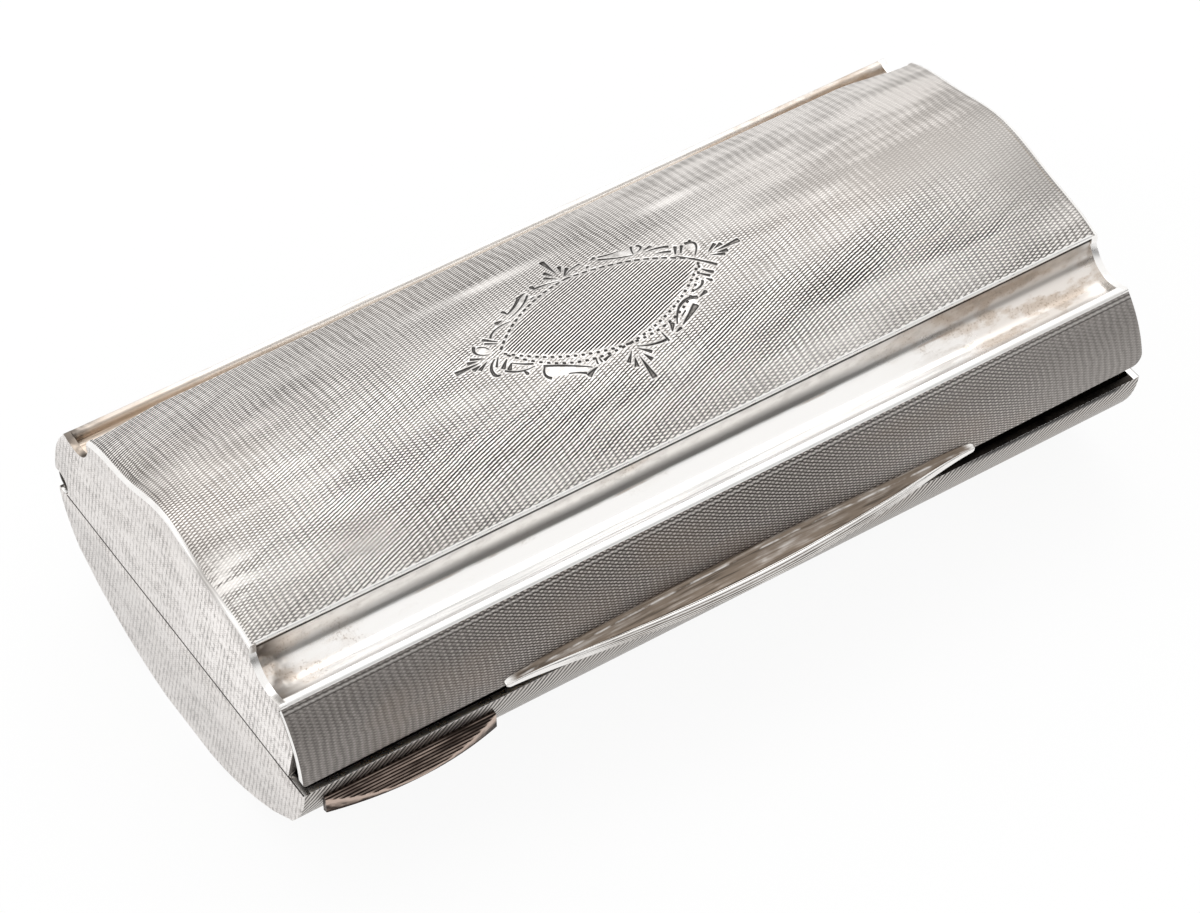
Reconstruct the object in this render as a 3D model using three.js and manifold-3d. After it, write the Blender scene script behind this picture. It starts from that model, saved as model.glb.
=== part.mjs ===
// Silver snuff box with a hinged lid, in millimetres.
// It lies along X with its thumbpiece to the front at -Y, and rests on a flat at Z = 0.
// Lid and base share one section: heights are counted from the plane midway between the two crowns.

import * as THREE from 'three';
import { mergeVertices } from 'three/addons/utils/BufferGeometryUtils.js';
import Module from 'manifold-3d';

const wasm = await Module();
wasm.setup();

// Overall sizes
const boxLength = 90;
const boxWidth = 44.2;
const crownToCrown = 28.4;
const sheet = 0.7;
const endSheet = 0.7;
const seam = 0.1;

// Section of the lid and of the base, from the crown outwards
const crownRise = 3.4;
const crownRimHeight = 1;
const crownOverhang = 0.2;
const fluteWallHeight = 0.37;
const fluteRadius = 2.72;
const fluteSweepDeg = 140.5;
const lipWidth = 0.33;
const lipHeight = 0.3;
const lipNoseInset = 0.08;
const lipNoseRise = 0.08;
const lipSlant = 0.65;
const sideSwell = 2.8;
const restWidth = 8;

// Parting between lid and base
const rimDrop = 1.4;
const rimGap = 0.15;
const frontLift = 0.5;
const frontSlant = 0.6;
const frontLeftRadius = 0.4;
const frontRightRadius = 1.2;
const endReliefRise = 4.6;
const endReliefDepth = 2;

// Hollow in the upper edge of the lid's end plates, across each flute
const endHollowInset = 1.3;
const endHollowDrop = 1.35;

// Hinge at the back
const barrelRadius = 1.1;
const barrelInset = 0.4;
const hingeClearance = 0.15;
const axisInset = 0.75;
const knuckleCount = 9;
const knuckleGap = 0.12;
const pinRadius = 0.5;
const pinClearance = 0.06;
const pinInset = 0.3;

// Inner rim of the base
const bezelRise = 1.3;

// Thumbpiece on the lid
const thumbLength = 50.4;
const thumbCentreX = 0.4;
const thumbHeight = 1.8;
const thumbDrop = 0.4;
const thumbReach = 3.1;
const thumbTip = 0.55;
const thumbTipHeight = 0.8;
const thumbRound = 0.9;
const thumbReeds = 6;
const thumbReedDepth = 0.14;

// Thumb rest on the base
const ledgeLength = 17.3;
const ledgeEndInset = 2;
const ledgeTopDrop = 1.6;
const ledgeReach = 1.9;
const ledgeFall = 1;
const ledgeRimHeight = 0.25;
const ledgeRootHeight = 2;
const ledgeTip = 0.3;
const ledgeReeds = 8;
const ledgeReedDepth = 0.14;

// Steps in the round stretches
const crownSteps = 24;
const fluteSteps = 16;
const lipSteps = 4;
const sideSteps = 10;
const roundSteps = 20;
const thumbSteps = 24;
const cornerSteps = 5;

// Places that follow from the sizes, y and height in the section
const halfWidth = boxWidth / 2;
const innerEnd = boxLength / 2 - endSheet;
const crownTop = crownToCrown / 2;
const lipAngle = THREE.MathUtils.degToRad(fluteSweepDeg - 180);
const lipTopY = halfWidth - sideSwell - lipWidth;
const fluteY = lipTopY - fluteRadius * Math.cos(lipAngle);
const fluteWallY = fluteY - fluteRadius;
const crownHalf = fluteWallY + crownOverhang;
const crownEdge = crownTop - crownRise;
const crownSeat = crownEdge - crownRimHeight;
const crownRadius = (crownHalf ** 2 + crownRise ** 2) / (2 * crownRise);
const crownCentre = crownTop - crownRadius;
const fluteHeight = crownSeat - fluteWallHeight;
const lipTop = fluteHeight + fluteRadius * Math.sin(lipAngle);
const lipY = lipTopY + lipWidth;
const lipSeat = lipTop - lipHeight;
const sideRadius = (lipSeat ** 2 + sideSwell ** 2) / (2 * sideSwell);
const sideCentreY = halfWidth - sideRadius;
const restHalf = restWidth / 2;
const midZ = crownCentre + Math.sqrt(crownRadius ** 2 - restHalf ** 2);
const axisY = halfWidth - axisInset;
const axisHeight = (frontLift - rimDrop) / 2;
const notchRadius = barrelRadius + hingeClearance + seam;
const linerOuter = axisY - barrelRadius - seam;
const linerInner = linerOuter - sheet;
const linerReach = Math.sqrt((sideRadius - sheet - seam) ** 2 - (linerOuter - sideCentreY) ** 2);
const linerEnd = innerEnd - rimGap;

const lid = { name: 'lid', up: 1 };
const base = { name: 'base', up: -1 };
const front = { name: 'front', out: -1 };
const rear = { name: 'rear', out: 1 };

const outsideSilver = { color: 0xb9b4ad, roughness: 0.38, metalness: 1 };
const polishedSilver = { color: 0xd6d2cb, roughness: 0.16, metalness: 1 };
const tarnishedSilver = { color: 0x8d8276, roughness: 0.45, metalness: 1 };
const giltSilver = { color: 0xd8b56a, roughness: 0.25, metalness: 1 };

const box = new THREE.Group();

// Points along an arc in the section, from one angle to the other
function arc(centreY, centreHeight, radius, from, to, steps) {
  const curve = new THREE.EllipseCurve(centreY, centreHeight, radius, radius, from, to, to < from);
  return curve.getPoints(steps);
}

function point(y, height) {
  return new THREE.Vector2(y, height);
}

// Turns section points, drawn for the rear of the lid, to a half and side of the box
function section(half, side, points) {
  return points.map((p) => point(side.out * p.x, midZ + half.up * p.y));
}

function mirrored(points) {
  return points.map((p) => point(-p.x, p.y)).reverse();
}

// A bar of constant section along X
function bar(points, fromX, toX, hole) {
  const shape = new THREE.Shape(points);
  if (hole) shape.holes.push(new THREE.Path(hole));
  const geometry = new THREE.ExtrudeGeometry(shape, { depth: toX - fromX, bevelEnabled: false });
  const alongX = new THREE.Matrix4().set(0, 0, 1, fromX, 1, 0, 0, 0, 0, 1, 0, 0, 0, 0, 0, 1);
  return geometry.applyMatrix4(alongX);
}

// A plate of constant plan in X and Y
function slab(points, fromZ, toZ) {
  const shape = new THREE.Shape(points);
  const geometry = new THREE.ExtrudeGeometry(shape, { depth: toZ - fromZ, bevelEnabled: false });
  return geometry.translate(0, 0, fromZ);
}

function solid(geometry) {
  const bare = geometry.clone();
  bare.deleteAttribute('normal');
  bare.deleteAttribute('uv');
  const merged = mergeVertices(bare);
  const mesh = new wasm.Mesh({
    numProp: 3,
    vertProperties: Float32Array.from(merged.attributes.position.array),
    triVerts: Uint32Array.from(merged.index.array),
  });
  return new wasm.Manifold(mesh);
}

function geometryOf(manifold) {
  const mesh = manifold.getMesh();
  const geometry = new THREE.BufferGeometry();
  geometry.setAttribute('position', new THREE.BufferAttribute(mesh.vertProperties, 3));
  geometry.setIndex(new THREE.BufferAttribute(mesh.triVerts, 1));
  geometry.computeVertexNormals();
  return geometry;
}

function addPiece(name, geometry, finish) {
  const mesh = new THREE.Mesh(geometry, new THREE.MeshStandardMaterial(finish));
  mesh.name = name;
  box.add(mesh);
}

// Crown arc from one edge to the other, flattened on the base where the box rests
function crownPoints(half) {
  const reach = Math.asin(crownHalf / crownRadius);
  const upright = Math.PI / 2;
  if (half === lid) {
    return arc(0, crownCentre, crownRadius, upright + reach, upright - reach, crownSteps);
  }
  const flat = Math.asin(restHalf / crownRadius);
  return [
    ...arc(0, crownCentre, crownRadius, upright + reach, upright + flat, crownSteps / 2),
    ...arc(0, crownCentre, crownRadius, upright - flat, upright - reach, crownSteps / 2),
  ];
}

function flutePoints() {
  return arc(fluteY, fluteHeight, fluteRadius, Math.PI, 2 * Math.PI + lipAngle, fluteSteps);
}

// Rounded nose from the flute's upper edge to the top of the side panel
function lipPoints() {
  const from = point(lipTopY, lipTop);
  const nose = point(lipY - lipNoseInset, lipTop + lipNoseRise);
  const to = point(lipY, lipSeat);
  return new THREE.QuadraticBezierCurve(from, nose, to).getPoints(lipSteps);
}

// Side of the box between two heights, at a depth under its outer face
function sidePoints(fromHeight, toHeight, depth) {
  const radius = sideRadius - depth;
  return arc(sideCentreY, 0, radius, Math.asin(fromHeight / radius), Math.asin(toHeight / radius), sideSteps);
}

// Distance of the side from the middle at one height
function sideY(height, depth) {
  return sideCentreY + Math.sqrt((sideRadius - depth) ** 2 - height ** 2);
}

function crownPanel(half) {
  const innerRadius = crownRadius - sheet;
  const rimY = crownHalf - sheet;
  const reach = Math.asin(rimY / innerRadius);
  const upright = Math.PI / 2;
  const outline = [
    point(-crownHalf, crownSeat),
    ...crownPoints(half),
    point(crownHalf, crownSeat),
    point(rimY, crownSeat),
    ...arc(0, crownCentre, innerRadius, upright - reach, upright + reach, crownSteps),
    point(-rimY, crownSeat),
  ];
  return bar(section(half, rear, outline), -innerEnd, innerEnd);
}

function fluteMoulding(half, side) {
  const backRadius = fluteRadius + sheet;
  const seatY = sideY(lipSeat - lipSlant, sheet) - seam;
  const backAngle = -Math.acos((seatY - fluteY) / backRadius);
  const outline = [
    point(fluteWallY, crownSeat),
    ...flutePoints(),
    ...lipPoints().slice(1),
    ...arc(fluteY, fluteHeight, backRadius, 2 * Math.PI + backAngle, Math.PI, fluteSteps),
    point(fluteWallY - sheet, crownSeat),
  ];
  return bar(section(half, side, outline), -innerEnd, innerEnd);
}

// The panel's upper edge slants down to the inside, under the flute's lip
function sidePanel(half, side, edgeHeight, halfLength) {
  const outline = [...sidePoints(lipSeat, edgeHeight, 0), ...sidePoints(edgeHeight, lipSeat - lipSlant, sheet)];
  return bar(section(half, side, outline), -halfLength, halfLength);
}

// The lid's front panel laps over the end plates. Its lower edge falls to the left, and its corners are rounded.
function lidFrontPanel() {
  const panel = sidePanel(lid, front, frontLift - frontSlant, boxLength / 2);
  const end = boxLength / 2;
  const top = midZ + crownTop;
  const leftZ = midZ + frontLift - frontSlant + frontLeftRadius;
  const rightZ = midZ + frontLift + frontRightRadius;
  const outline = [
    point(-end, top),
    ...arc(-end + frontLeftRadius, leftZ, frontLeftRadius, Math.PI, 1.5 * Math.PI, cornerSteps),
    ...arc(end - frontRightRadius, rightZ, frontRightRadius, 1.5 * Math.PI, 2 * Math.PI, cornerSteps),
    point(end, top),
  ];
  const trimmer = slab(outline, 0, boxWidth).rotateX(Math.PI / 2);
  return geometryOf(solid(panel).intersect(solid(trimmer)));
}

// Edge of an end plate across a flute: a low ridge that closes it on the lid, straight on the base
function endBridge(half) {
  const to = point(lipTopY, lipTop);
  if (half === base) return [to];
  const from = point(fluteWallY, crownSeat);
  const bend = point(fluteWallY + endHollowInset, lipTop - endHollowDrop);
  return [point(crownHalf, crownSeat), ...new THREE.QuadraticBezierCurve(from, bend, to).getPoints(fluteSteps)];
}

function endFlank(half, edgeHeight) {
  return [
    ...endBridge(half),
    ...lipPoints().slice(1),
    ...sidePoints(lipSeat, edgeHeight, 0).slice(1),
  ];
}

// Front edge of the lid's end plate: behind the front panel, and relieved towards the corner
function lidEndFront(edgeHeight) {
  return [
    ...endBridge(lid),
    ...lipPoints().slice(1),
    ...sidePoints(lipSeat - lipSlant, edgeHeight + endReliefRise, sheet + seam),
    point(halfWidth - sheet - endReliefDepth, edgeHeight),
  ];
}

function endPlate(half, end) {
  const edgeHeight = half === lid ? rimGap - rimDrop : rimDrop;
  const frontFlank = half === lid ? lidEndFront(edgeHeight) : endFlank(half, edgeHeight);
  const outline = [...crownPoints(half), ...endFlank(half, edgeHeight), ...mirrored(frontFlank)];
  const outer = end * boxLength / 2;
  const inner = end * innerEnd;
  const plate = bar(section(half, rear, outline), Math.min(outer, inner), Math.max(outer, inner));
  const notch = bar(barrelCircle(notchRadius), -boxLength, boxLength);
  return geometryOf(solid(plate).subtract(solid(notch)));
}

function barrelCircle(radius) {
  return arc(axisY, midZ + axisHeight, radius, 0, 2 * Math.PI, roundSteps).slice(0, -1);
}

// Strip standing inside a long side, from its upper edge to where the side curves in to meet it
function longLiner(half, side, edgeHeight) {
  const outline = [
    point(linerInner, edgeHeight),
    point(linerOuter, edgeHeight),
    point(linerOuter, linerReach),
    point(linerInner, linerReach),
  ];
  return bar(section(half, side, outline), -linerEnd, linerEnd);
}

function endBezel(end) {
  const halfSpan = linerInner - seam;
  const low = midZ - linerReach;
  const high = midZ - rimDrop + bezelRise;
  const outer = end * linerEnd;
  const inner = end * (linerEnd - sheet);
  const outline = [
    point(-halfSpan, low),
    point(halfSpan, low),
    point(halfSpan, high),
    point(-halfSpan, high),
  ];
  return bar(outline, Math.min(outer, inner), Math.max(outer, inner));
}

function addShell(half, frontPanel, rearEdge) {
  addPiece(half === lid ? 'lid_crown_panel' : 'base_bottom_panel', crownPanel(half), outsideSilver);
  for (const side of [front, rear]) {
    addPiece(`${half.name}_${side.name}_flute`, fluteMoulding(half, side), polishedSilver);
  }
  addPiece(`${half.name}_front_panel`, frontPanel, outsideSilver);
  addPiece(`${half.name}_rear_panel`, sidePanel(half, rear, rearEdge, innerEnd), outsideSilver);
  addPiece(`${half.name}_left_end`, endPlate(half, -1), outsideSilver);
  addPiece(`${half.name}_right_end`, endPlate(half, 1), outsideSilver);
}

function addHinge() {
  const barrelLength = boxLength - 2 * barrelInset;
  const pitch = (barrelLength + knuckleGap) / knuckleCount;
  const bore = barrelCircle(pinRadius + pinClearance);
  const made = { lid: 0, base: 0 };
  for (let i = 0; i < knuckleCount; i += 1) {
    const half = i % 2 === 0 ? base : lid;
    const fromX = -barrelLength / 2 + i * pitch;
    made[half.name] += 1;
    const knuckle = bar(barrelCircle(barrelRadius), fromX, fromX + pitch - knuckleGap, bore);
    addPiece(`${half.name}_knuckle_${made[half.name]}`, knuckle, polishedSilver);
  }
  const pinEnd = barrelLength / 2 - pinInset;
  addPiece('hinge_pin', bar(barrelCircle(pinRadius), -pinEnd, pinEnd), polishedSilver);
  addPiece('lid_hinge_bearer', longLiner(lid, rear, axisHeight + seam), giltSilver);
  addPiece('base_hinge_bearer', longLiner(base, rear, seam - axisHeight), giltSilver);
}

function addBezel() {
  addPiece('bezel_front', longLiner(base, front, rimDrop - bezelRise), giltSilver);
  addPiece('bezel_left', endBezel(-1), giltSilver);
  addPiece('bezel_right', endBezel(1), giltSilver);
}

// Outline with a straight back at the given level, bowed out from its tips to its reach in the middle
function bowOutline(centreX, length, level, tip, reach) {
  const half = length / 2;
  const sag = reach - tip;
  const radius = (half ** 2 + sag ** 2) / (2 * sag);
  const swing = Math.asin(half / radius);
  const up = Math.PI / 2;
  const bow = arc(centreX, level + reach - radius, radius, up + swing, up - swing, thumbSteps);
  return [point(centreX - half, level), ...bow, point(centreX + half, level)];
}

// The same outline as the plan of a ledge that stands out from the front
function bowPlan(centreX, length, backY, tip, reach) {
  return bowOutline(centreX, length, backY, tip, reach).map((p) => point(p.x, -p.y));
}

// Reeds and the grooves between them are thin bowed layers, under a top that falls to the tips
function thumbpiece() {
  const backY = halfWidth + seam / 2;
  const layers = 2 * thumbReeds - 1;
  const layerHeight = thumbHeight / layers;
  const lowZ = midZ + frontLift - thumbDrop;
  let whole = null;
  for (let i = 0; i < layers; i += 1) {
    const offCentre = (i - thumbReeds + 1) / thumbReeds;
    const round = thumbRound * (1 - Math.sqrt(1 - offCentre ** 2));
    const groove = i % 2 === 0 ? 0 : thumbReedDepth;
    const plan = bowPlan(thumbCentreX, thumbLength, backY, thumbTip - groove, thumbReach - round - groove);
    const layer = solid(slab(plan, lowZ + i * layerHeight, lowZ + (i + 1) * layerHeight));
    whole = whole ? whole.add(layer) : layer;
  }
  const side = bowOutline(thumbCentreX, thumbLength, lowZ, thumbTipHeight, thumbHeight);
  const trimmer = slab(side, 0, boxWidth).rotateX(Math.PI / 2);
  return geometryOf(whole.intersect(solid(trimmer)));
}

// Ledge with straight reeds on its sloping top, cut to a bowed plan
function thumbRest() {
  const topHeight = rimDrop + ledgeTopDrop;
  const rootY = sideY(topHeight, -seam);
  const footHeight = topHeight + ledgeRootHeight;
  const footY = sideY(footHeight, -seam);
  const outline = [point(footY, footHeight), point(rootY, topHeight)];
  for (let i = 0; i < 2 * ledgeReeds; i += 1) {
    const along = (i + 1) / (2 * ledgeReeds);
    const crest = i % 2 === 0 ? ledgeReedDepth : 0;
    outline.push(point(rootY + along * ledgeReach, topHeight + along * ledgeFall - crest));
  }
  outline.push(point(rootY + ledgeReach, topHeight + ledgeFall + ledgeRimHeight));
  const fromX = -boxLength / 2 + ledgeEndInset;
  const strip = bar(section(base, front, outline), fromX, fromX + ledgeLength);
  const rootDepth = rootY - footY;
  const centreX = fromX + ledgeLength / 2;
  const plan = bowPlan(centreX, ledgeLength, footY, rootDepth + ledgeTip, rootDepth + ledgeReach);
  const trimmer = slab(plan, 0, midZ);
  return geometryOf(solid(strip).intersect(solid(trimmer)));
}

addShell(lid, lidFrontPanel(), axisHeight + barrelRadius + hingeClearance);
addShell(base, sidePanel(base, front, rimDrop, innerEnd), barrelRadius + hingeClearance - axisHeight);
addHinge();
addBezel();
addPiece('lid_thumbpiece', thumbpiece(), polishedSilver);
addPiece('base_thumb_rest', thumbRest(), tarnishedSilver);

export default box;
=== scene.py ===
import math

import bmesh
import bpy
import numpy as np
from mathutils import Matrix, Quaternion, Vector, noise


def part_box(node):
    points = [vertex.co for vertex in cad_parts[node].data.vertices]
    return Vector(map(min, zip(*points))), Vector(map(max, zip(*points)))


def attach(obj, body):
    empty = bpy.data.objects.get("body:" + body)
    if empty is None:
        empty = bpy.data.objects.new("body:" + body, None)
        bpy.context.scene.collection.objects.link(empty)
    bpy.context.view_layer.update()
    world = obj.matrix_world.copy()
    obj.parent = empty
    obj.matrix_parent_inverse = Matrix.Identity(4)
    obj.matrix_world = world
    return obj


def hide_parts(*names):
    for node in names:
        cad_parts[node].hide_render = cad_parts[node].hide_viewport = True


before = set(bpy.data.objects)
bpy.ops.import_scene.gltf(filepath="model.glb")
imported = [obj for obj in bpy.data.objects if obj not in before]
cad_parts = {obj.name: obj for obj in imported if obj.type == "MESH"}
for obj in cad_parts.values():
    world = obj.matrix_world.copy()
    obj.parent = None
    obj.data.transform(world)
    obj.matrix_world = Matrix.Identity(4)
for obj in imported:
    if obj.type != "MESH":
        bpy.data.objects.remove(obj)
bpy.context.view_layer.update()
mm = 0.001
tiny = 1e-6
print("frame loaded:", len(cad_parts), "nodes")

# Camera

shot = {
    "place": (-0.15033, -0.23718, 0.30587),
    "aim": (-0.0029, -0.0038, 0.014),
    "roll": math.radians(-1.2),
    "lens": 132.5,  # on a 36 mm sensor
}


def setCamera():
    place = Vector(shot["place"])
    look = Vector(shot["aim"]) - place
    camera = bpy.data.objects.new("camera", bpy.data.cameras.new("camera"))
    bpy.context.scene.collection.objects.link(camera)
    camera.data.lens = shot["lens"]
    camera.data.clip_start = 0.01
    camera.location = place
    camera.rotation_mode = "QUATERNION"
    camera.rotation_quaternion = look.to_track_quat("-Z", "Y") @ Quaternion((0, 0, 1), shot["roll"])
    bpy.context.scene.camera = camera


setCamera()
bpy.context.scene.view_settings.view_transform = "Standard"

# Shape of the box, read from the frame. Heights in a section count from the plane between lid and base.

shell = {
    "sheet": 0.7 * mm,
    "seam": 0.1 * mm,
    "rimHeight": 1.0 * mm,  # turned-down rim under the dome's edge
    "bead": 0.3 * mm,  # bright edge of the dome, over that rim
    "fluteRadius": 2.72 * mm,
    "fluteSweep": 140.5,  # degrees from the flute's wall to its lip
    "lipSlant": 0.65 * mm,  # fall of the side panel's upper edge to its inner face
    "worn": 0.12 * mm,  # rounding of handled edges
}
domeLow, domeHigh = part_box("lid_crown_panel")
fluteLow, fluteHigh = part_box("lid_rear_flute")
midZ = (domeLow.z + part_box("base_bottom_panel")[1].z) / 2
innerEnd = domeHigh.x
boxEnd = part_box("lid_right_end")[1].x
sheet = shell["sheet"]
domeHalf = domeHigh.y
domeTop = domeHigh.z - midZ
domeSeat = domeLow.z - midZ
domeEdge = domeSeat + shell["rimHeight"]
domeRise = domeTop - domeEdge
domeRadius = (domeHalf**2 + domeRise**2) / (2 * domeRise)
domeCentre = domeTop - domeRadius
domeReach = math.degrees(math.asin(domeHalf / domeRadius))
restTop = midZ  # the flat under the base lies at z 0
restHalf = math.sqrt(domeRadius**2 - (restTop - domeCentre) ** 2)
fluteRadius = shell["fluteRadius"]
fluteWall = fluteLow.y + sheet
fluteY = fluteWall + fluteRadius
fluteH = fluteLow.z - midZ + sheet + fluteRadius
lipAngle = math.radians(shell["fluteSweep"] - 180)
lipY = fluteHigh.y
lipTop = fluteH + fluteRadius * math.sin(lipAngle)
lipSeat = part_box("lid_rear_panel")[1].z - midZ
sideY = -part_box("lid_front_panel")[0].y
sideSwell = sideY - lipY
sideRadius = (lipSeat**2 + sideSwell**2) / (2 * sideSwell)
sideCentre = sideY - sideRadius
tuckH = lipSeat - shell["lipSlant"]
tuckY = sideCentre + math.sqrt((sideRadius - sheet) ** 2 - tuckH**2) - shell["seam"]
halves = {"lid": 1, "base": -1}
sides = {"front": -1, "rear": 1}

plateLook = {  # flat pieces: rounded edges, and how far up the front gap's painted shade and tarnish reach
    "edge": 0.36 * mm,
    "sideEdge": 0.1 * mm,
    "bezelEdge": 0.08 * mm,
    "gapHeight": 2.5 * mm,
}

# Shader sums


class Wire:  # a shader socket that can stand in sums
    def __init__(self, tree, socket=None):
        self.tree = tree
        self.socket = socket

    def node(self, kind, settings, sockets, out=0):
        made = self.tree.nodes.new(kind)
        for key, value in settings.items():
            if key == "stops":
                fillRamp(made.color_ramp, value)
            else:
                setattr(made, key, value)
        for key, value in sockets.items():
            if isinstance(value, Wire):
                self.tree.links.new(value.socket, made.inputs[key])
            else:
                made.inputs[key].default_value = value
        return Wire(self.tree, made.outputs[out]) if made.outputs else made

    def work(self, operation, first, second=0.0):
        return self.node("ShaderNodeMath", {"operation": operation}, {0: first, 1: second})

    def __add__(self, other):
        return self.work("ADD", self, other)

    def __sub__(self, other):
        return self.work("SUBTRACT", self, other)

    def __rsub__(self, other):
        return self.work("SUBTRACT", other, self)

    def __mul__(self, other):
        return self.work("MULTIPLY", self, other)

    def __pow__(self, power):
        return self.work("POWER", self, power)

    def __abs__(self):
        return self.work("ABSOLUTE", self)

    __radd__ = __add__
    __rmul__ = __mul__


def fillRamp(ramp, stops):
    ramp.elements[0].position = stops[0][0]
    ramp.elements[1].position = stops[-1][0]
    for place, colour in stops[1:-1]:
        ramp.elements.new(place)
    for element, (place, colour) in zip(ramp.elements, stops):
        element.color = (*colour, 1)


def wave(phase):  # 0 to 1 and back, once in each whole step of the phase
    return phase.work("SINE", phase * math.tau) * 0.5 + 0.5


def step(value, low, high):  # soft step from 0 at low to 1 at high
    settings = {"interpolation_type": "SMOOTHSTEP"}
    if low < high:
        return value.node("ShaderNodeMapRange", settings, {0: value, 1: low, 2: high, 3: 0.0, 4: 1.0})
    return value.node("ShaderNodeMapRange", settings, {0: value, 1: high, 2: low, 3: 1.0, 4: 0.0})


def band(value, middle, half):  # 1 at the middle, 0 at half to either side
    return step(abs(value - middle), half, 0)


def patchAt(x, y, middleX, halfX, middleY, halfY):
    return band(x, middleX, halfX) * band(y, middleY, halfY)


def most(*values):  # the largest of them
    top = values[0]
    for value in values[1:]:
        top = top.work("MAXIMUM", top, value)
    return top


def spread(first, second):  # distance from where both are 0
    return first.work("SQRT", first * first + second * second)


def blend(share, first, second):  # colour mix, where a colour is a socket or three numbers
    pair = [c if isinstance(c, Wire) else (*c, 1) for c in (first, second)]
    settings = {"data_type": "RGBA", "clamp_factor": True}
    return share.node("ShaderNodeMix", settings, {0: share, 6: pair[0], 7: pair[1]}, out=2)


def coats(colour, *layers):  # each layer is a share and the colour that it lays over those before it
    for share, over in layers:
        colour = blend(share, colour, over)
    return colour


def tone(value, *stops):  # value to colour
    return value.node("ShaderNodeValToRGB", {"stops": stops}, {0: value})


def cloud(place, size, detail=2.0, stretch=(1, 1, 1), shift=0):  # soft noise about 0 to 1, size in mm
    sockets = {0: place, 1: [s / size for s in stretch], 2: (shift, shift, shift)}
    scaled = place.node("ShaderNodeVectorMath", {"operation": "MULTIPLY_ADD"}, sockets)
    sockets = {"Vector": scaled, "Scale": 1.0, "Detail": detail, "Roughness": 0.55}
    return place.node("ShaderNodeTexNoise", {}, sockets)


def attribute(place, name):
    return place.node("ShaderNodeAttribute", {"attribute_name": name}, {}, out="Fac")


def makeFinish(name, recipe, *details):  # a recipe gives colour, roughness, bumps and their depth
    material = bpy.data.materials.new(name)
    material.use_nodes = True
    tree = material.node_tree
    tree.nodes.clear()
    start = Wire(tree)
    spot = start.node("ShaderNodeTexCoord", {}, {}, out="Object")
    place = start.node("ShaderNodeVectorMath", {"operation": "SCALE"}, {0: spot, "Scale": 1 / mm})
    axes = [start.node("ShaderNodeSeparateXYZ", {}, {0: place}, out=axis) for axis in range(3)]
    colour, roughness, height, depth = recipe(place, *axes, *details)
    bump = start.node("ShaderNodeBump", {}, {"Strength": 1.0, "Distance": depth, "Height": height})
    inputs = {"Base Color": colour, "Roughness": roughness, "Normal": bump, "Metallic": 1.0}
    shader = start.node("ShaderNodeBsdfPrincipled", {}, inputs)
    start.node("ShaderNodeOutputMaterial", {}, {0: shader})
    return material


# Finishes. A place is in mm: a middle and half width, or where a change starts and where it is done.

silver = {
    "crest": (0.95, 0.915, 0.88),
    "bright": (0.90, 0.88, 0.855),
    "plain": (0.70, 0.672, 0.645),
    "satin": (0.62, 0.592, 0.565),
    "dull": (0.40, 0.375, 0.352),
    "groove": (0.05, 0.046, 0.043),
    "black": (0.018, 0.016, 0.015),
    "brown": (0.30, 0.215, 0.15),
    "peach": (0.72, 0.62, 0.53),
    "gold": (0.80, 0.62, 0.34),
}


def barley(place, along, across, look):  # phases of two families of cut lines that cross
    rise = math.sin(math.radians(look["angle"])) / look["pitch"]
    run = math.cos(math.radians(look["angle"])) / look["pitch"]
    shake = cloud(place, 1.2, 1.0, shift=2) * look["shake"]
    sway = cloud(place, look["swaySize"]) * look["sway"] + shake
    slack = cloud(place, look["swaySize"] * 0.6, shift=7) * look["sway"] * 0.6 + shake
    return across * run - along * rise + sway, across * run + along * rise + slack


def grains(upLine, downLine, split, dark=0.0):  # bright dashes between dark lines, split parts the dashes
    ridge = step(wave(upLine) - dark, 0.15, 0.6)
    dash = step(wave(downLine), 0.05, 0.65)
    return ridge * (1 - (1 - dash) * split)


def deepLines(place, along, upLine, zone):  # single grooves that run dark over a stretch, most in the zone
    number = place.work("FLOOR", upLine + 0.25)
    pick = place.node("ShaderNodeTexWhiteNoise", {"noise_dimensions": "1D"}, {"W": number})
    strip = place.node("ShaderNodeCombineXYZ", {}, {0: along * 0.06, 1: pick * 90.0, 2: 0.0})
    stretch = place.node("ShaderNodeTexNoise", {}, {"Vector": strip, "Scale": 1.0, "Detail": 1.0})
    return step(stretch + zone * 0.2, 0.62, 0.72) * step(wave(upLine), 0.72, 0.32)


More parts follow.
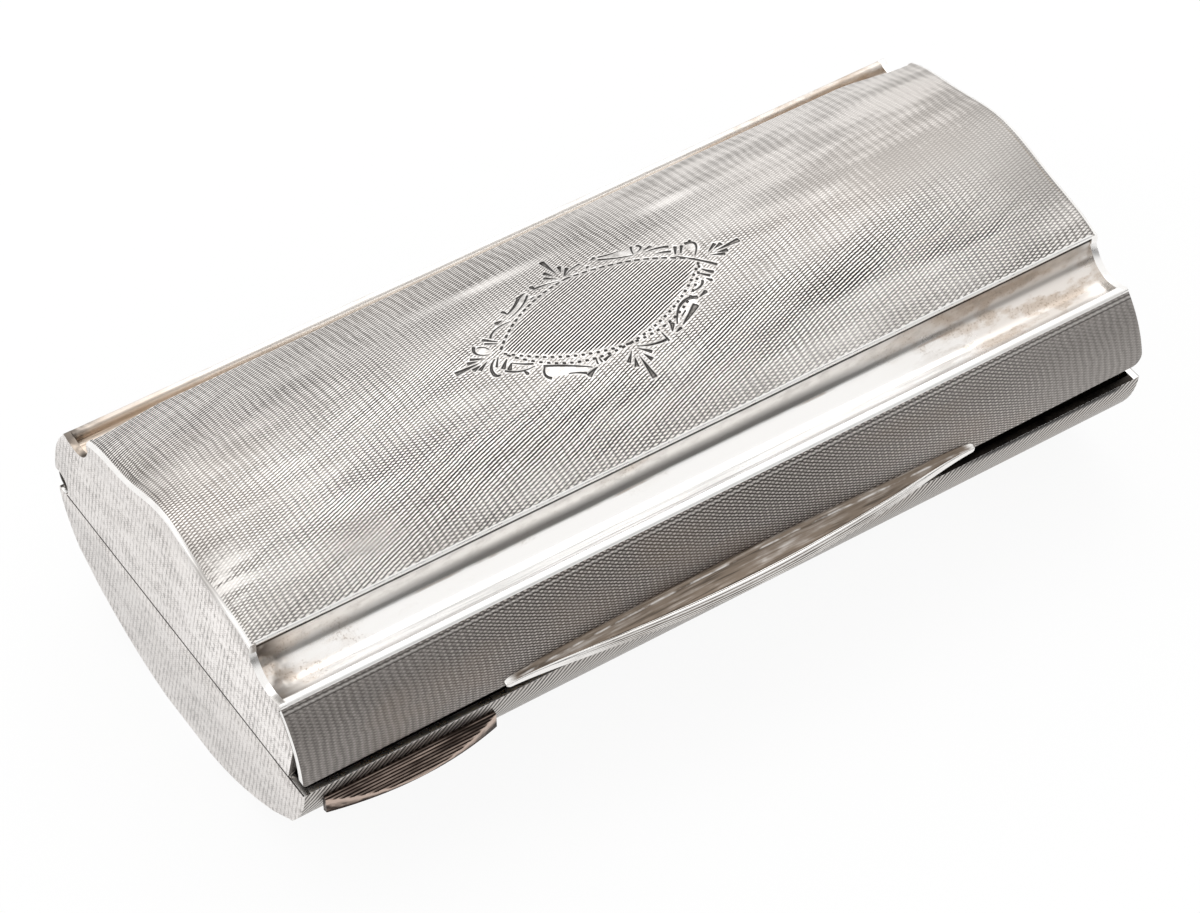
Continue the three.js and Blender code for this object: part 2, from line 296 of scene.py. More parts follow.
topLook = {
    "angle": 18.6,
    "pitch": 0.279,
    "rows": 3.45,  # straight lines along the lid, in each mm
    "columns": 1.24,  # faint columns across the lid, in each mm
    "sway": 3.2,
    "swaySize": 15.0,
    "shake": 0.25,
    "depth": 0.02 * mm,
    "cutTone": [(0.0, silver["groove"]), (0.27, (0.43, 0.403, 0.378)), (0.5, silver["crest"])],
    "silkTone": [(0.0, (0.40, 0.378, 0.357)), (1.0, (0.76, 0.725, 0.693))],  # where the lines wear off
    "bareTone": [(0.42, (0.5, 0.48, 0.46)), (0.62, (0.86, 0.835, 0.81))],  # rubbed silver beside the cuts
    "cutFloor": [(0.025, 0.023, 0.022), (0.24, 0.225, 0.21)],
    "warm": (0.52, 0.44, 0.38),
    "deepBand": (0.02, -8.8, 5.2),  # slope, middle and half width of the zone of dark lines
    "deepStart": (-38.0, -26.0),
    "deepCore": (20.0, 13.0, -8.3, 4.0),  # its darkest patch, along and across
    "leftZone": (-21.0, 17.0, 0.5, 8.0),  # the darker left, along and across
    "rearCorner": ((-26.0, -36.0), (6.5, 10.0)),
    "wornRight": (1.5, 16.0, 38.0),  # lean, start and end of the worn right end
    "dullRight": ((25.0, 38.0), (-3.0, 10.0)),
    "frame": (10.6, 5.1, 0.35),  # plain field in the cartouche: half length, half width, place across
    "highlightBand": (9.7, 1.1),  # painted highlight: a bright band along the back
    "flares": [(-6.5, 10.0), (13.5, 5.0)],  # the stretches of it
    "endRub": ((-38.5, -43.5), (-8.2, 3.8)),  # painted highlight: bright streaks at the left end
    "borders": (0.15, 0.45),  # lines along the left end, in from the plate
    "borderStart": (-2.0, 3.0),
}


def topZones(place, x, y):  # where the cut lines run deep, where they stand plain, how strongly they show
    slope, middle, half = topLook["deepBand"]
    lean, *wornRight = topLook["wornRight"]
    long, wide, across = topLook["frame"]
    cornerX, cornerY = topLook["rearCorner"]
    right = step(x + y * lean, *wornRight)
    patch = step(cloud(place, 9.0, 3.0, (0.5, 1.3, 1), 31), 0.36, 0.56) * 0.6 + 0.4
    deep = band(y - x * slope, middle, half) * patch * step(x, *topLook["deepStart"])
    core = patchAt(x, y, *topLook["deepCore"])
    left = patchAt(x, y, *topLook["leftZone"])
    corner = step(x, *cornerX) * step(y, *cornerY)
    field = step((abs(x) * (1 / long)) ** 1.35 + (abs(y - across) * (1 / wide)) ** 1.35, 1.0, 0.86)
    zone = most(deep, core, corner * 0.8, left * 0.6)
    zone = most(zone * (1 - right), field * step(y, 3.0, -2.0))
    rear = step(y, 4.0, 9.0) * (1 - right)
    show = (0.6 + step(cloud(place, 7.0, 3.0, (0.4, 1.3, 1), 3), 0.3, 0.7) * 0.35) * (1 - right * 0.75)
    return zone, field, right, show + zone * 0.45 + field * 0.4 + rear * 0.2


def topGrain(place, x, y, lines, columns, zone, field):
    weave = step(cloud(place, 4.0, 3.0, (0.45, 1.2, 1), 51), 0.3, 0.7)
    split = (1 - field * 0.75) * (0.9 - zone * 0.15 - weave * 0.35)
    rows = wave(y * topLook["rows"] + cloud(place, 5.0, 2.0, (0.4, 1, 1), 23) * 2.0)
    banded = step(cloud(place, 8.0, 2.0, (0.6, 1, 1), 71), 0.3, 0.55) * 0.45
    banded = banded * (1 - field) * (1 - zone * 0.5)
    lean = field * 0.3 + zone * (0.03 + step(x, 4.0, 14.0) * 0.12)
    return grains(*lines, split, lean) * (1 - (1 - rows) * 0.4) * (1 - (1 - columns) * banded)


def topHighlights(place, x, y, right):  # painted sheen in patches, a painted highlight band along the back and painted highlight streaks at the left end
    highlightX, highlightY = topLook["endRub"]
    patches = step(cloud(place, 11.0, 3.0, (0.3, 1.6, 1), 11), 0.55, 0.8) * (1 - right)
    broken = step(cloud(place, 5.0, 3.0, (0.5, 1, 1), 5), 0.3, 0.6) * 0.5 + 0.5
    flares = most(*[band(x, *flare) for flare in topLook["flares"]])
    backBand = band(y, *topLook["highlightBand"]) * flares * broken
    streaks = step(cloud(place, 1.6, 3.0, (0.25, 1.8, 1), 6), 0.42, 0.58)
    endRub = step(x, *highlightX) * band(y, *highlightY) * streaks
    return most(patches * 0.35, backBand * 0.8, endRub * 0.85)


def topBorder(place, x, y):
    inset = x + (boxEnd - plateLook["edge"]) / mm
    lines = most(*[band(inset, line, 0.08) for line in topLook["borders"]])
    return lines * step(y, *topLook["borderStart"]) * step(cloud(place, 4.0), 0.3, 0.5)


def engineTurnedTop(place, x, y, z):
    lines = barley(place, x, y, topLook)
    zone, field, right, show = topZones(place, x, y)
    columns = wave(x * topLook["columns"] + cloud(place, 3.0, 2.0, (0.5, 1, 1), 61) * 1.2)
    grain = topGrain(place, x, y, lines, columns, zone, field)
    dullX, dullY = topLook["dullRight"]
    silk = step(cloud(place, 3.2, 3.0, (0.3, 1.5, 1), 41), 0.3, 0.7) - right * 0.25 + (columns - 0.5) * 0.5
    # painted sheen: lighter towards the back
    silk = silk + step(y, 2.0, 8.0) * 0.45 - step(x, *dullX) * band(y, *dullY) * 0.9
    grooves = deepLines(place, x, lines[0], zone) * (1 - right)
    warm = step(cloud(place, 18.0, 2.0, (0.5, 1, 1), 21), 0.5, 0.75)
    cut = attribute(place, "cut")
    rubbed = attribute(place, "rubbed")
    hatch = step(cloud(place, 0.25, 2.0, (0.6, 1.4, 1), 81), 0.4, 0.6)
    floor = blend(step(cut, 0.5, 0.95) * (0.25 + hatch * 0.55), *topLook["cutFloor"])
    colour = coats(
        tone(silk, *topLook["silkTone"]),
        (show, tone(grain, *topLook["cutTone"])),
        (grooves * (0.45 + zone * 0.55), silver["black"]),
        # painted sheen and painted highlights
        (topHighlights(place, x, y, right), silver["crest"]),
        (warm * 0.13, topLook["warm"]),
        (topBorder(place, x, y) * 0.7, silver["groove"]),
        (rubbed * 0.85, tone(cloud(place, 0.8, 3.0, shift=83), *topLook["bareTone"])),
        (step(cut, 0.03, 0.25) * 0.95, floor),
    )
    roughness = 0.36 - rubbed * 0.12 + cloud(place, 3.0) * 0.08
    return colour, roughness, grain * (1 - rubbed), topLook["depth"]


sideLook = {
    "angle": 22.4,
    "pitch": 0.259,
    "rows": 3.8,
    "columns": 1.3,
    "sway": 1.2,
    "swaySize": 11.0,
    "shake": 0.25,
    "depth": 0.022 * mm,
    "rope": 1.65,  # slanted strokes in each mm along the base
    "cutTone": [(0.0, (0.075, 0.067, 0.061)), (0.4, (0.21, 0.19, 0.176)), (1.0, (0.70, 0.65, 0.61))],
    "satinTone": [(0.207, 0.19, 0.178), (0.318, 0.295, 0.276)],
    "ropeTone": [(0.0, (0.07, 0.063, 0.057)), (1.0, (0.66, 0.625, 0.59))],
    "wornRope": (0.42, 0.395, 0.37),
    "satinEnds": [(-20.0, -37.0), (29.0, 41.0)],  # the lines wear off towards both ends
    "lightRight": (5.0, 25.0),
    "baseTop": (-0.9, -0.6),  # heights from the plane between lid and base
    "blackRim": [(21.0, 29.0), (43.8, 42.0), (-2.25, -1.75)],  # painted shade and tarnish below the front gap: start, end and height
    "borders": (0.2, 0.5),  # lines under the lip, and the ridge between them
    "ridge": 0.35,
}


def engineTurnedSide(place, x, y, z):
    upLine, downLine = barley(place, x, z, sideLook)
    rise = z - midZ / mm
    onLid = step(rise, *sideLook["baseTop"])
    rows = wave(z * sideLook["rows"] + cloud(place, 6.0, 2.0, (0.4, 1, 1), 23))
    columns = wave(x * sideLook["columns"] + cloud(place, 2.5, 3.0, (0.6, 1, 1), 61) * 1.8)
    satin = most(*[step(x, *end) for end in sideLook["satinEnds"]])
    grain = grains(downLine, upLine, 0.6) * (1 - (1 - rows) * 0.35)
    show = (step(cloud(place, 9.0, 2.0, (0.5, 1, 1), 3), 0.25, 0.65) * 0.35 + 0.6) * (1 - satin * 0.75)
    rope = step(wave((x - rise * 0.75) * sideLook["rope"] + cloud(place, 3.0) * 0.8), 0.2, 0.75)
    worn = step(cloud(place, 2.5, 3.0, (0.5, 1, 1), 37), 0.35, 0.65)
    smear = step(cloud(place, 6.0, 3.0, (0.4, 1, 1), 9), 0.5, 0.75)
    rimStart, rimEnd, rimHeight = sideLook["blackRim"]
    blackRim = step(x, *rimStart) * step(x, *rimEnd) * step(rise, *rimHeight) * (1 - onLid)
    borders = most(*[band(abs(rise), lipSeat / mm - down, 0.07) for down in sideLook["borders"]])
    colour = coats(
        blend(columns, *sideLook["satinTone"]),
        (show, tone(grain, *sideLook["cutTone"])),
        (step(x, *sideLook["lightRight"]) * 0.12, silver["plain"]),
        (1 - onLid, blend(worn * 0.3, tone(rope, *sideLook["ropeTone"]), sideLook["wornRope"])),
        (smear * 0.2, silver["brown"]),
        # painted shade and tarnish at the top of the base's front, on the right
        (blackRim * 0.95, silver["black"]),
        (borders * 0.75, silver["groove"]),
        (band(abs(rise), lipSeat / mm - sideLook["ridge"], 0.08) * 0.5, silver["plain"]),
    )
    roughness = 0.38 + cloud(place, 2.0) * 0.1
    return colour, roughness, grain * onLid + rope * (1 - onLid), sideLook["depth"]


endLook = {
    "lines": (1.75, 0.5),  # cut lines in each mm across and up
    "cross": (3.45, 3.7),
    "sway": 1.5,
    "swaySize": 12.0,
    "depth": 0.016 * mm,
    "tone": [(0.52, (0.36, 0.34, 0.327)), (0.7, (0.8, 0.76, 0.732)), (0.84, (1.0, 0.965, 0.94))],
    "shade": (0.46, 0.432, 0.41),
    "baseTop": (-0.9, -1.6),
    "shadeBack": (-9.0, 1.0),
    "crownShade": [(28.5, 31.5), (4.0, -4.0)],  # painted shade near the crown: out from the dome's centre, and towards the front
}


def engineTurnedEnd(place, x, y, z):
    sway = cloud(place, endLook["swaySize"]) * endLook["sway"]
    grain = grains(*[y * endLook[way][0] + z * endLook[way][1] + sway for way in ("lines", "cross")], 0.6)
    speckle = cloud(place, 0.3, 2.0, (1, 1.5, 0.45), 29)
    mottle = cloud(place, 2.4, 3.0, (1, 0.8, 1.3), 3)
    scratch = step(cloud(place, 2.2, 2.0, (1, 0.22, 2.2), 13), 0.62, 0.72)
    rub = step(cloud(place, 6.0, 3.0, shift=17), 0.55, 0.75)
    onBase = step(z - midZ / mm, *endLook["baseTop"])
    crownOut, crownFront = endLook["crownShade"]
    crown = step(spread(y, z - (midZ + domeCentre) / mm), *crownOut) * step(y, *crownFront)
    colour = coats(
        tone(grain * 0.2 + speckle * 0.85 + mottle * 0.45, *endLook["tone"]),
        (scratch * 0.3, silver["satin"]),
        (rub * 0.3, silver["crest"]),
        # painted shade: darker on the base half and towards the back
        (most(onBase * 0.3, step(y, *endLook["shadeBack"]) * 0.22), endLook["shade"]),
        # painted shade near the crown, towards the front
        (crown * 0.35, silver["dull"]),
    )
    roughness = 0.34 + cloud(place, 2.0) * 0.1
    return colour, roughness, grain, endLook["depth"]


fluteStains = {
    "clean": (0.95, 0.935, 0.915),
    "tan": (0.50, 0.42, 0.35),
    "backTan": (0.60, 0.50, 0.41),
    "shadeBand": (0.13, 0.118, 0.106),
    "leftEndDark": (0.1, 0.083, 0.07),
    "lip": (0.97, 0.955, 0.94),
    "ends": (20.0, 44.0),  # stains towards both ends
    "tanRight": (12.0, 38.0),
    "dullRight": (8.0, 36.0),
    "onBack": (15.0, 16.0),
    "leftward": (-10.0, -40.0),
    "shadeBandTop": (9.35, 8.2),  # heights from the plane between lid and base
    "shadeBandFoot": (7.78, 7.98),
    "brownFoot": (7.82, 0.16),
    "tarnishEnds": [(-20.0, -40.0, 0.45), (10.0, 30.0, 0.8)],  # how much it fades there
    "backOut": (19.3, 17.6),  # distances out from the middle of the box
    "reflectionLines": [(17.7, 0.4), (17.6, 0.09)],
    "lipOut": (18.3, 18.45),
    "leftEndDarkFrom": (-40.5, -44.2),
    "underBead": 0.25,
    "depth": 0.004 * mm,
}


def fluteShadeBand(place, x, height):  # painted shade: a dark band that fades up the wall, and the brown line at its foot
    shore = height + (cloud(place, 9.0, 3.0, (0.6, 1, 1), 33) - 0.5) * 0.25
    shadeBand = step(shore, *fluteStains["shadeBandTop"]) * step(shore, *fluteStains["shadeBandFoot"])
    for start, done, fade in fluteStains["tarnishEnds"]:
        shadeBand = shadeBand * (1 - step(x, start, done) * fade)
    broken = step(cloud(place, 3.0, 3.0, (0.5, 1, 1), 35), 0.48, 0.62)
    return shadeBand, band(shore, *fluteStains["brownFoot"]) * broken


def polishedSilver(place, x, y, z):  # flutes: bright, brown towards the ends, with painted shade under the dome's bead
    height = abs(z - midZ / mm)
    out = abs(y)
    onBack = step(y, *fluteStains["onBack"])
    leftward = step(x, *fluteStains["leftward"])
    smudge = cloud(place, 6.0, 4.0, (0.35, 1, 1))
    fleck = cloud(place, 0.22, 4.0)
    blotch = step(cloud(place, 1.7, 4.0, (0.5, 1, 1), 43), 0.45, 0.62)
    soiled = smudge + step(abs(x + 6.0), *fluteStains["ends"]) * 0.34
    stain = step(soiled, 0.58, 0.82)
    speck = step(fleck, 0.52, 0.68) * blotch * step(soiled, 0.55, 0.75) * (1 - onBack)
    wall = step(height - fluteH / mm, -1.2, -0.2)
    grit = step(cloud(place, 0.7, 3.0, (0.5, 1, 1), 19), 0.4, 0.75)
    beadFoot = (domeEdge - shell["bead"]) / mm - fluteStains["underBead"]  # first height that shows
    # painted shade: a black line under the dome's bead, where its overhang shades the wall
    dirt = step(height + cloud(place, 2.0) * 0.06, beadFoot - 0.3, beadFoot - 0.12)
    shadeBand, brownFoot = fluteShadeBand(place, x, height)
    backTan = onBack * step(out - leftward * 0.4, *fluteStains["backOut"])
    # painted reflection: grey lines along the flute near the lip, broad towards both ends
    line = out + (cloud(place, 24.0, 1.0, shift=9) - 0.5) * 0.3
    broad, thin = [band(line, *reflectionLine) for reflectionLine in fluteStains["reflectionLines"]]
    reflectionStreak = most(broad * step(abs(x + 8.0), 8.0, 24.0) * 0.6, thin * 0.5) * (1 - onBack)
    # darker towards the flute's left end, most on its wall
    leftEndDarkShare = step(cloud(place, 1.8, 2.0, shift=27) + wall * 0.2, 0.36, 0.58)
    # painted highlight: the lip cleared to near-white
    lip = step(out, *fluteStains["lipOut"]) * step(height - lipTop / mm, 0.4, 0.1)
    colour = coats(
        fluteStains["clean"],
        (stain * (0.35 + blotch * 0.6), silver["peach"]),
        (step(x, *fluteStains["tanRight"]) * (0.15 + blotch * 0.35), fluteStains["tan"]),
        (speck * 0.6, silver["brown"]),
        (wall * (0.12 + grit * 0.3 + step(x, *fluteStains["dullRight"]) * 0.3), silver["dull"]),
        (dirt * 0.97, silver["black"]),
        # painted shade: the dark band across the flute, a painted reflection of the unlit side
        (shadeBand * 0.75, fluteStains["shadeBand"]),
        (brownFoot * 0.55, silver["brown"]),
        (backTan * (0.3 + leftward * 0.45 + fleck * 0.3), fluteStains["backTan"]),
        (reflectionStreak, silver["dull"]),
        (step(x, *fluteStains["leftEndDarkFrom"]) * leftEndDarkShare * 0.85, fluteStains["leftEndDark"]),
        (lip * 0.8 * (1 - onBack), fluteStains["lip"]),
    )
    roughness = 0.13 + smudge * 0.1 + stain * 0.14 + wall * 0.1 + lip * 0.15 + shadeBand * 0.15
    return colour, roughness, cloud(place, 0.5, 2.0, (0.05, 1, 1)), fluteStains["depth"]


edgeLook = {
    "shadedLeft": ((-43.8, -44.4), (-7.0, 5.0)),  # painted shade on a stretch of the left end's crown edge
    "tone": [(0.3, silver["bright"]), (0.6, (0.97, 0.955, 0.935))],
    "depth": 0.01 * mm,
}


def wornEdge(place, x, y, z):
    rub = cloud(place, 1.2, 3.0)
    shadedX, shadedY = edgeLook["shadedLeft"]
    soft = step(x, *shadedX) * band(y, *shadedY)
    # painted shade: the bright edge dulled on the front of the left end
    colour = blend(soft * 0.85, tone(rub, *edgeLook["tone"]), silver["dull"])
    roughness = 0.2 + rub * 0.16
    return colour, roughness, rub, edgeLook["depth"]


reedLook = {  # clean and dirty colour, and the line of solder at the back
    "thumb": (silver["bright"], (0.20, 0.16, 0.126), -22.5),
    "ledge": ((0.52, 0.41, 0.35), (0.045, 0.032, 0.026), -15.0),
    "solder": 0.12,
    "depth": 0.012 * mm,
}


def reeded(place, x, y, z, piece):  # dirt lies where the piece's mesh says so
    clean, dirty, solderAt = reedLook[piece]
    grit = cloud(place, 0.8, 4.0, (0.3, 1, 1))
    streak = cloud(place, 0.3, 3.0, (0.05, 1, 1), 14)
    shade = step(attribute(place, "dirt") + (grit - 0.5) * 0.6 + (streak - 0.5) * 0.7, 0.15, 0.8)
    dashes = step(cloud(place, 0.7, 3.0, (0.45, 1, 1), 15), 0.4, 0.6)
    solder = band(y + (grit - 0.5) * 0.15, solderAt, reedLook["solder"]) * dashes
    colour = coats(
        clean,
        (shade, dirty),
        (step(streak, 0.5, 0.7) * shade * 0.55, silver["black"]),
        (solder * 0.85, silver["plain"]),
    )
    roughness = 0.15 + shade * 0.25 + grit * 0.06
    return colour, roughness, grit, reedLook["depth"]


giltLook = {
    "fluteEnd": (0.5, 0.3),  # plain silver where an end plate closes a flute, out from its round
    "blackRim": ((2.2, 1.2), (-16.0, -18.5)),  # painted shade and tarnish inside the front rims: height and distance out
    "depth": 0.008 * mm,
}


def giltInside(place, x, y, z):
    height = abs(z - midZ / mm)
    wear = step(cloud(place, 9.0, 4.0), 0.52, 0.7)
    stain = step(cloud(place, 1.6, 4.0, shift=5), 0.5, 0.85)
    fromFlute = spread(abs(y) - fluteY / mm, height - fluteH / mm) - fluteRadius / mm
    rimHeight, rimOut = giltLook["blackRim"]
    colour = coats(
        silver["gold"],
        (wear * 0.5, silver["plain"]),
        (stain * 0.3, silver["brown"]),
        (step(fromFlute, *giltLook["fluteEnd"]), silver["bright"]),
        (step(height, *rimHeight) * step(y, *rimOut) * 0.95, silver["black"]),
    )
    roughness = 0.24 + stain * 0.2 + wear * 0.06
    return colour, roughness, cloud(place, 0.6, 2.0, (0.08, 1, 1)), giltLook["depth"]


def gapShadeAndTarnish(place, x, y, z):  # painted shade with silver sulphide, near-black, in the shadow of the front gap
    grit = cloud(place, 1.0, 3.0)
    colour = tone(grit, (0.3, silver["black"]), (0.75, (0.06, 0.05, 0.042)))
    roughness = 0.45 + grit * 0.2
    return colour, roughness, grit, 0.01 * mm


finishes = {
    "top": makeFinish("engineTurnedTop", engineTurnedTop),
    "side": makeFinish("engineTurnedSide", engineTurnedSide),
    "end": makeFinish("engineTurnedEnd", engineTurnedEnd),
    "polished": makeFinish("polishedSilver", polishedSilver),
    "edge": makeFinish("wornEdge", wornEdge),
    "thumb": makeFinish("reededThumbpiece", reeded, "thumb"),
    "ledge": makeFinish("reededLedge", reeded, "ledge"),
    "gilt": makeFinish("giltInside", giltInside),
    "gap": makeFinish("gapShadeAndTarnish", gapShadeAndTarnish),
}
print("finishes made:", len(finishes))

# Drawing tools: an outline in the section plane is drawn out to a bar along X


def startAt(y, h):
    bm = bmesh.new()
    return bm, bm.verts.new((0, y, h))


def lineTo(bm, vert, y, h):
    tip = bmesh.ops.extrude_vert_indiv(bm, verts=[vert])["verts"][0]
    tip.co = (0, y, h)
    return tip


def arcTo(bm, vert, y, h, degrees, steps):
    angle = math.radians(degrees)
    made = bmesh.ops.spin(bm, geom=[vert], cent=(0, y, h), axis=(1, 0, 0), angle=angle, steps=steps)
    return made["geom_last"][0]


def bulgeTo(bm, vert, y, h, degrees, steps):  # arc to a point, turning by the given angle on the way
    start = Vector((vert.co.y, vert.co.z))
    chord = Vector((y, h)) - start
    left = Vector((-chord.y, chord.x))
    centre = start + chord / 2 + left / (2 * math.tan(math.radians(degrees) / 2))
    return arcTo(bm, vert, centre.x, centre.y, degrees, steps)


def pulled(start, bend, end, share):  # point on a soft curve that a corner pulls out
    far = 1 - share
    return Vector(start) * far**2 + Vector(bend) * 2 * share * far + Vector(end) * share**2


def drawOut(bm, fromX, toX, cuts):
    bmesh.ops.remove_doubles(bm, verts=bm.verts, dist=1e-7)
    loose = [v for v in bm.verts if len(v.link_edges) == 1]
    if loose:
        bm.edges.new(loose)
    cap = bmesh.ops.edgeloop_fill(bm, edges=bm.edges[:])["faces"]
    bmesh.ops.translate(bm, verts=bm.verts, vec=(fromX, 0, 0))
    grown = bmesh.ops.extrude_face_region(bm, geom=cap)["geom"]
    far = [g for g in grown if isinstance(g, bmesh.types.BMVert)]
    bmesh.ops.translate(bm, verts=far, vec=(toX - fromX, 0, 0))
    if cuts:
        bmesh.ops.subdivide_edges(bm, edges=longEdges(bm), cuts=cuts, use_grid_fill=True)
    bmesh.ops.recalc_face_normals(bm, faces=bm.faces[:])


def longEdges(bm):
    return [e for e in bm.edges if abs(e.verts[0].co.x - e.verts[1].co.x) > tiny]


def allOf(bm):
    return bm.verts[:] + bm.edges[:] + bm.faces[:]


def cutAway(bm, spot, way):  # flat cut that takes off what lies beyond the spot
    bmesh.ops.bisect_plane(bm, geom=allOf(bm), plane_co=spot, plane_no=way, clear_outer=True)
    bmesh.ops.holes_fill(bm, edges=[e for e in bm.edges if e.is_boundary])


def turnTo(bm, side, half):  # drawn for the rear of the lid, turned to its own side and half
    bmesh.ops.scale(bm, vec=(1, side, half), verts=bm.verts)
    bmesh.ops.translate(bm, vec=(0, 0, midZ), verts=bm.verts)
    bmesh.ops.recalc_face_normals(bm, faces=bm.faces[:])


def roundOff(bm, edges, width, segments=3):  # rounds edges and gives them the worn finish
    made = bmesh.ops.bevel(
        bm,
        geom=edges,
        offset=width,
        affect="EDGES",
        segments=segments,
        profile=0.5,
        material=-1,
        clamp_overlap=True,
    )
    for face in made["faces"]:
        face.material_index = 1


def sharpEdges(bm, degrees):
    limit = math.radians(degrees)
    return [e for e in bm.edges if len(e.link_faces) == 2 and e.calc_face_angle() > limit]


def gild(bm, isInside):  # third finish on the faces that line the hollow
    for face in bm.faces:
        if isInside(face.calc_center_median(), face.normal):
            face.material_index = 2


def finishPiece(bm, name, body, nodes, looks, sharp=40):
    for face in bm.faces:
        face.smooth = True
    for edge in sharpEdges(bm, sharp):
        edge.smooth = False
    mesh = bpy.data.meshes.new(name)
    bm.to_mesh(mesh)
    bm.free()
    piece = bpy.data.objects.new(name, mesh)
    bpy.context.scene.collection.objects.link(piece)
    for look in looks:
        mesh.materials.append(finishes[look])
    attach(piece, body)
    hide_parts(*nodes)
    return piece


def dentBy(place, size, amount):
    return noise.noise(Vector((place.x / size, place.y / size, place.z / size))) * amount


def inSection(place):  # distance from the middle and height in the section, for any side and half
    return abs(place.y), abs(place.z - midZ)


def facesIn(place, normal):  # towards the plane between lid and base
    return normal.z * (place.z - midZ) <= 0


def paint(face, names, name):
    face.material_index = names.index(name)


# Cuts of the cartouche on the lid, in mm along and across the dome

cartouche = {
    "cut": 0.12 * mm,  # deepest cut
    "slope": 0.6,  # depth of a cut to its half width
    "broad": 1.25,  # wear widens the cuts
    "rubbed": 0.2,  # width of bare silver beside the cuts
    "corners": {"left": (-10.5, 0.4), "top": (-0.3, 5.5), "right": (10.8, 0.4), "bottom": (-0.1, -4.75)},
    "facetRub": 0.15,
    "near": 1.2,  # how far from a stroke spots are measured
    "steps": 8,  # straight bits in a curved stroke
    "bow": 1.05,
    # rows of the border: side, how many rows out, marks from corner to corner and length of a mark
    "rows": [("top", 0, 15, 0.6), ("bottom", 0, 17, 0.42), ("bottom", 1, 17, 0.42)],
    "rowGap": 0.75,
    "rowShift": 0.4,
    "markWidths": (0.26, 0.22),
    "stem": 0.08,  # width of a leaf at its root
    # each palmette: root, heading and how far its leaves spread
    "palmettes": [
        ((-11.6, 0.35), 180, 0.62),
        ((-0.55, 5.6), 90, 1.0),
        ((11.6, 0.55), 0, 0.62),
        ((-0.1, -5.2), 270, 1.0),
    ],
    # leaves of a palmette: angle, start, end and width
    "leaves": [
        (0, 1.1, 3.6, 0.5),
        (23, 1.1, 2.1, 0.42),
        (-23, 1.1, 2.1, 0.42),
        (45, 0.4, 1.75, 0.36),
        (-45, 0.4, 1.75, 0.36),
    ],
}

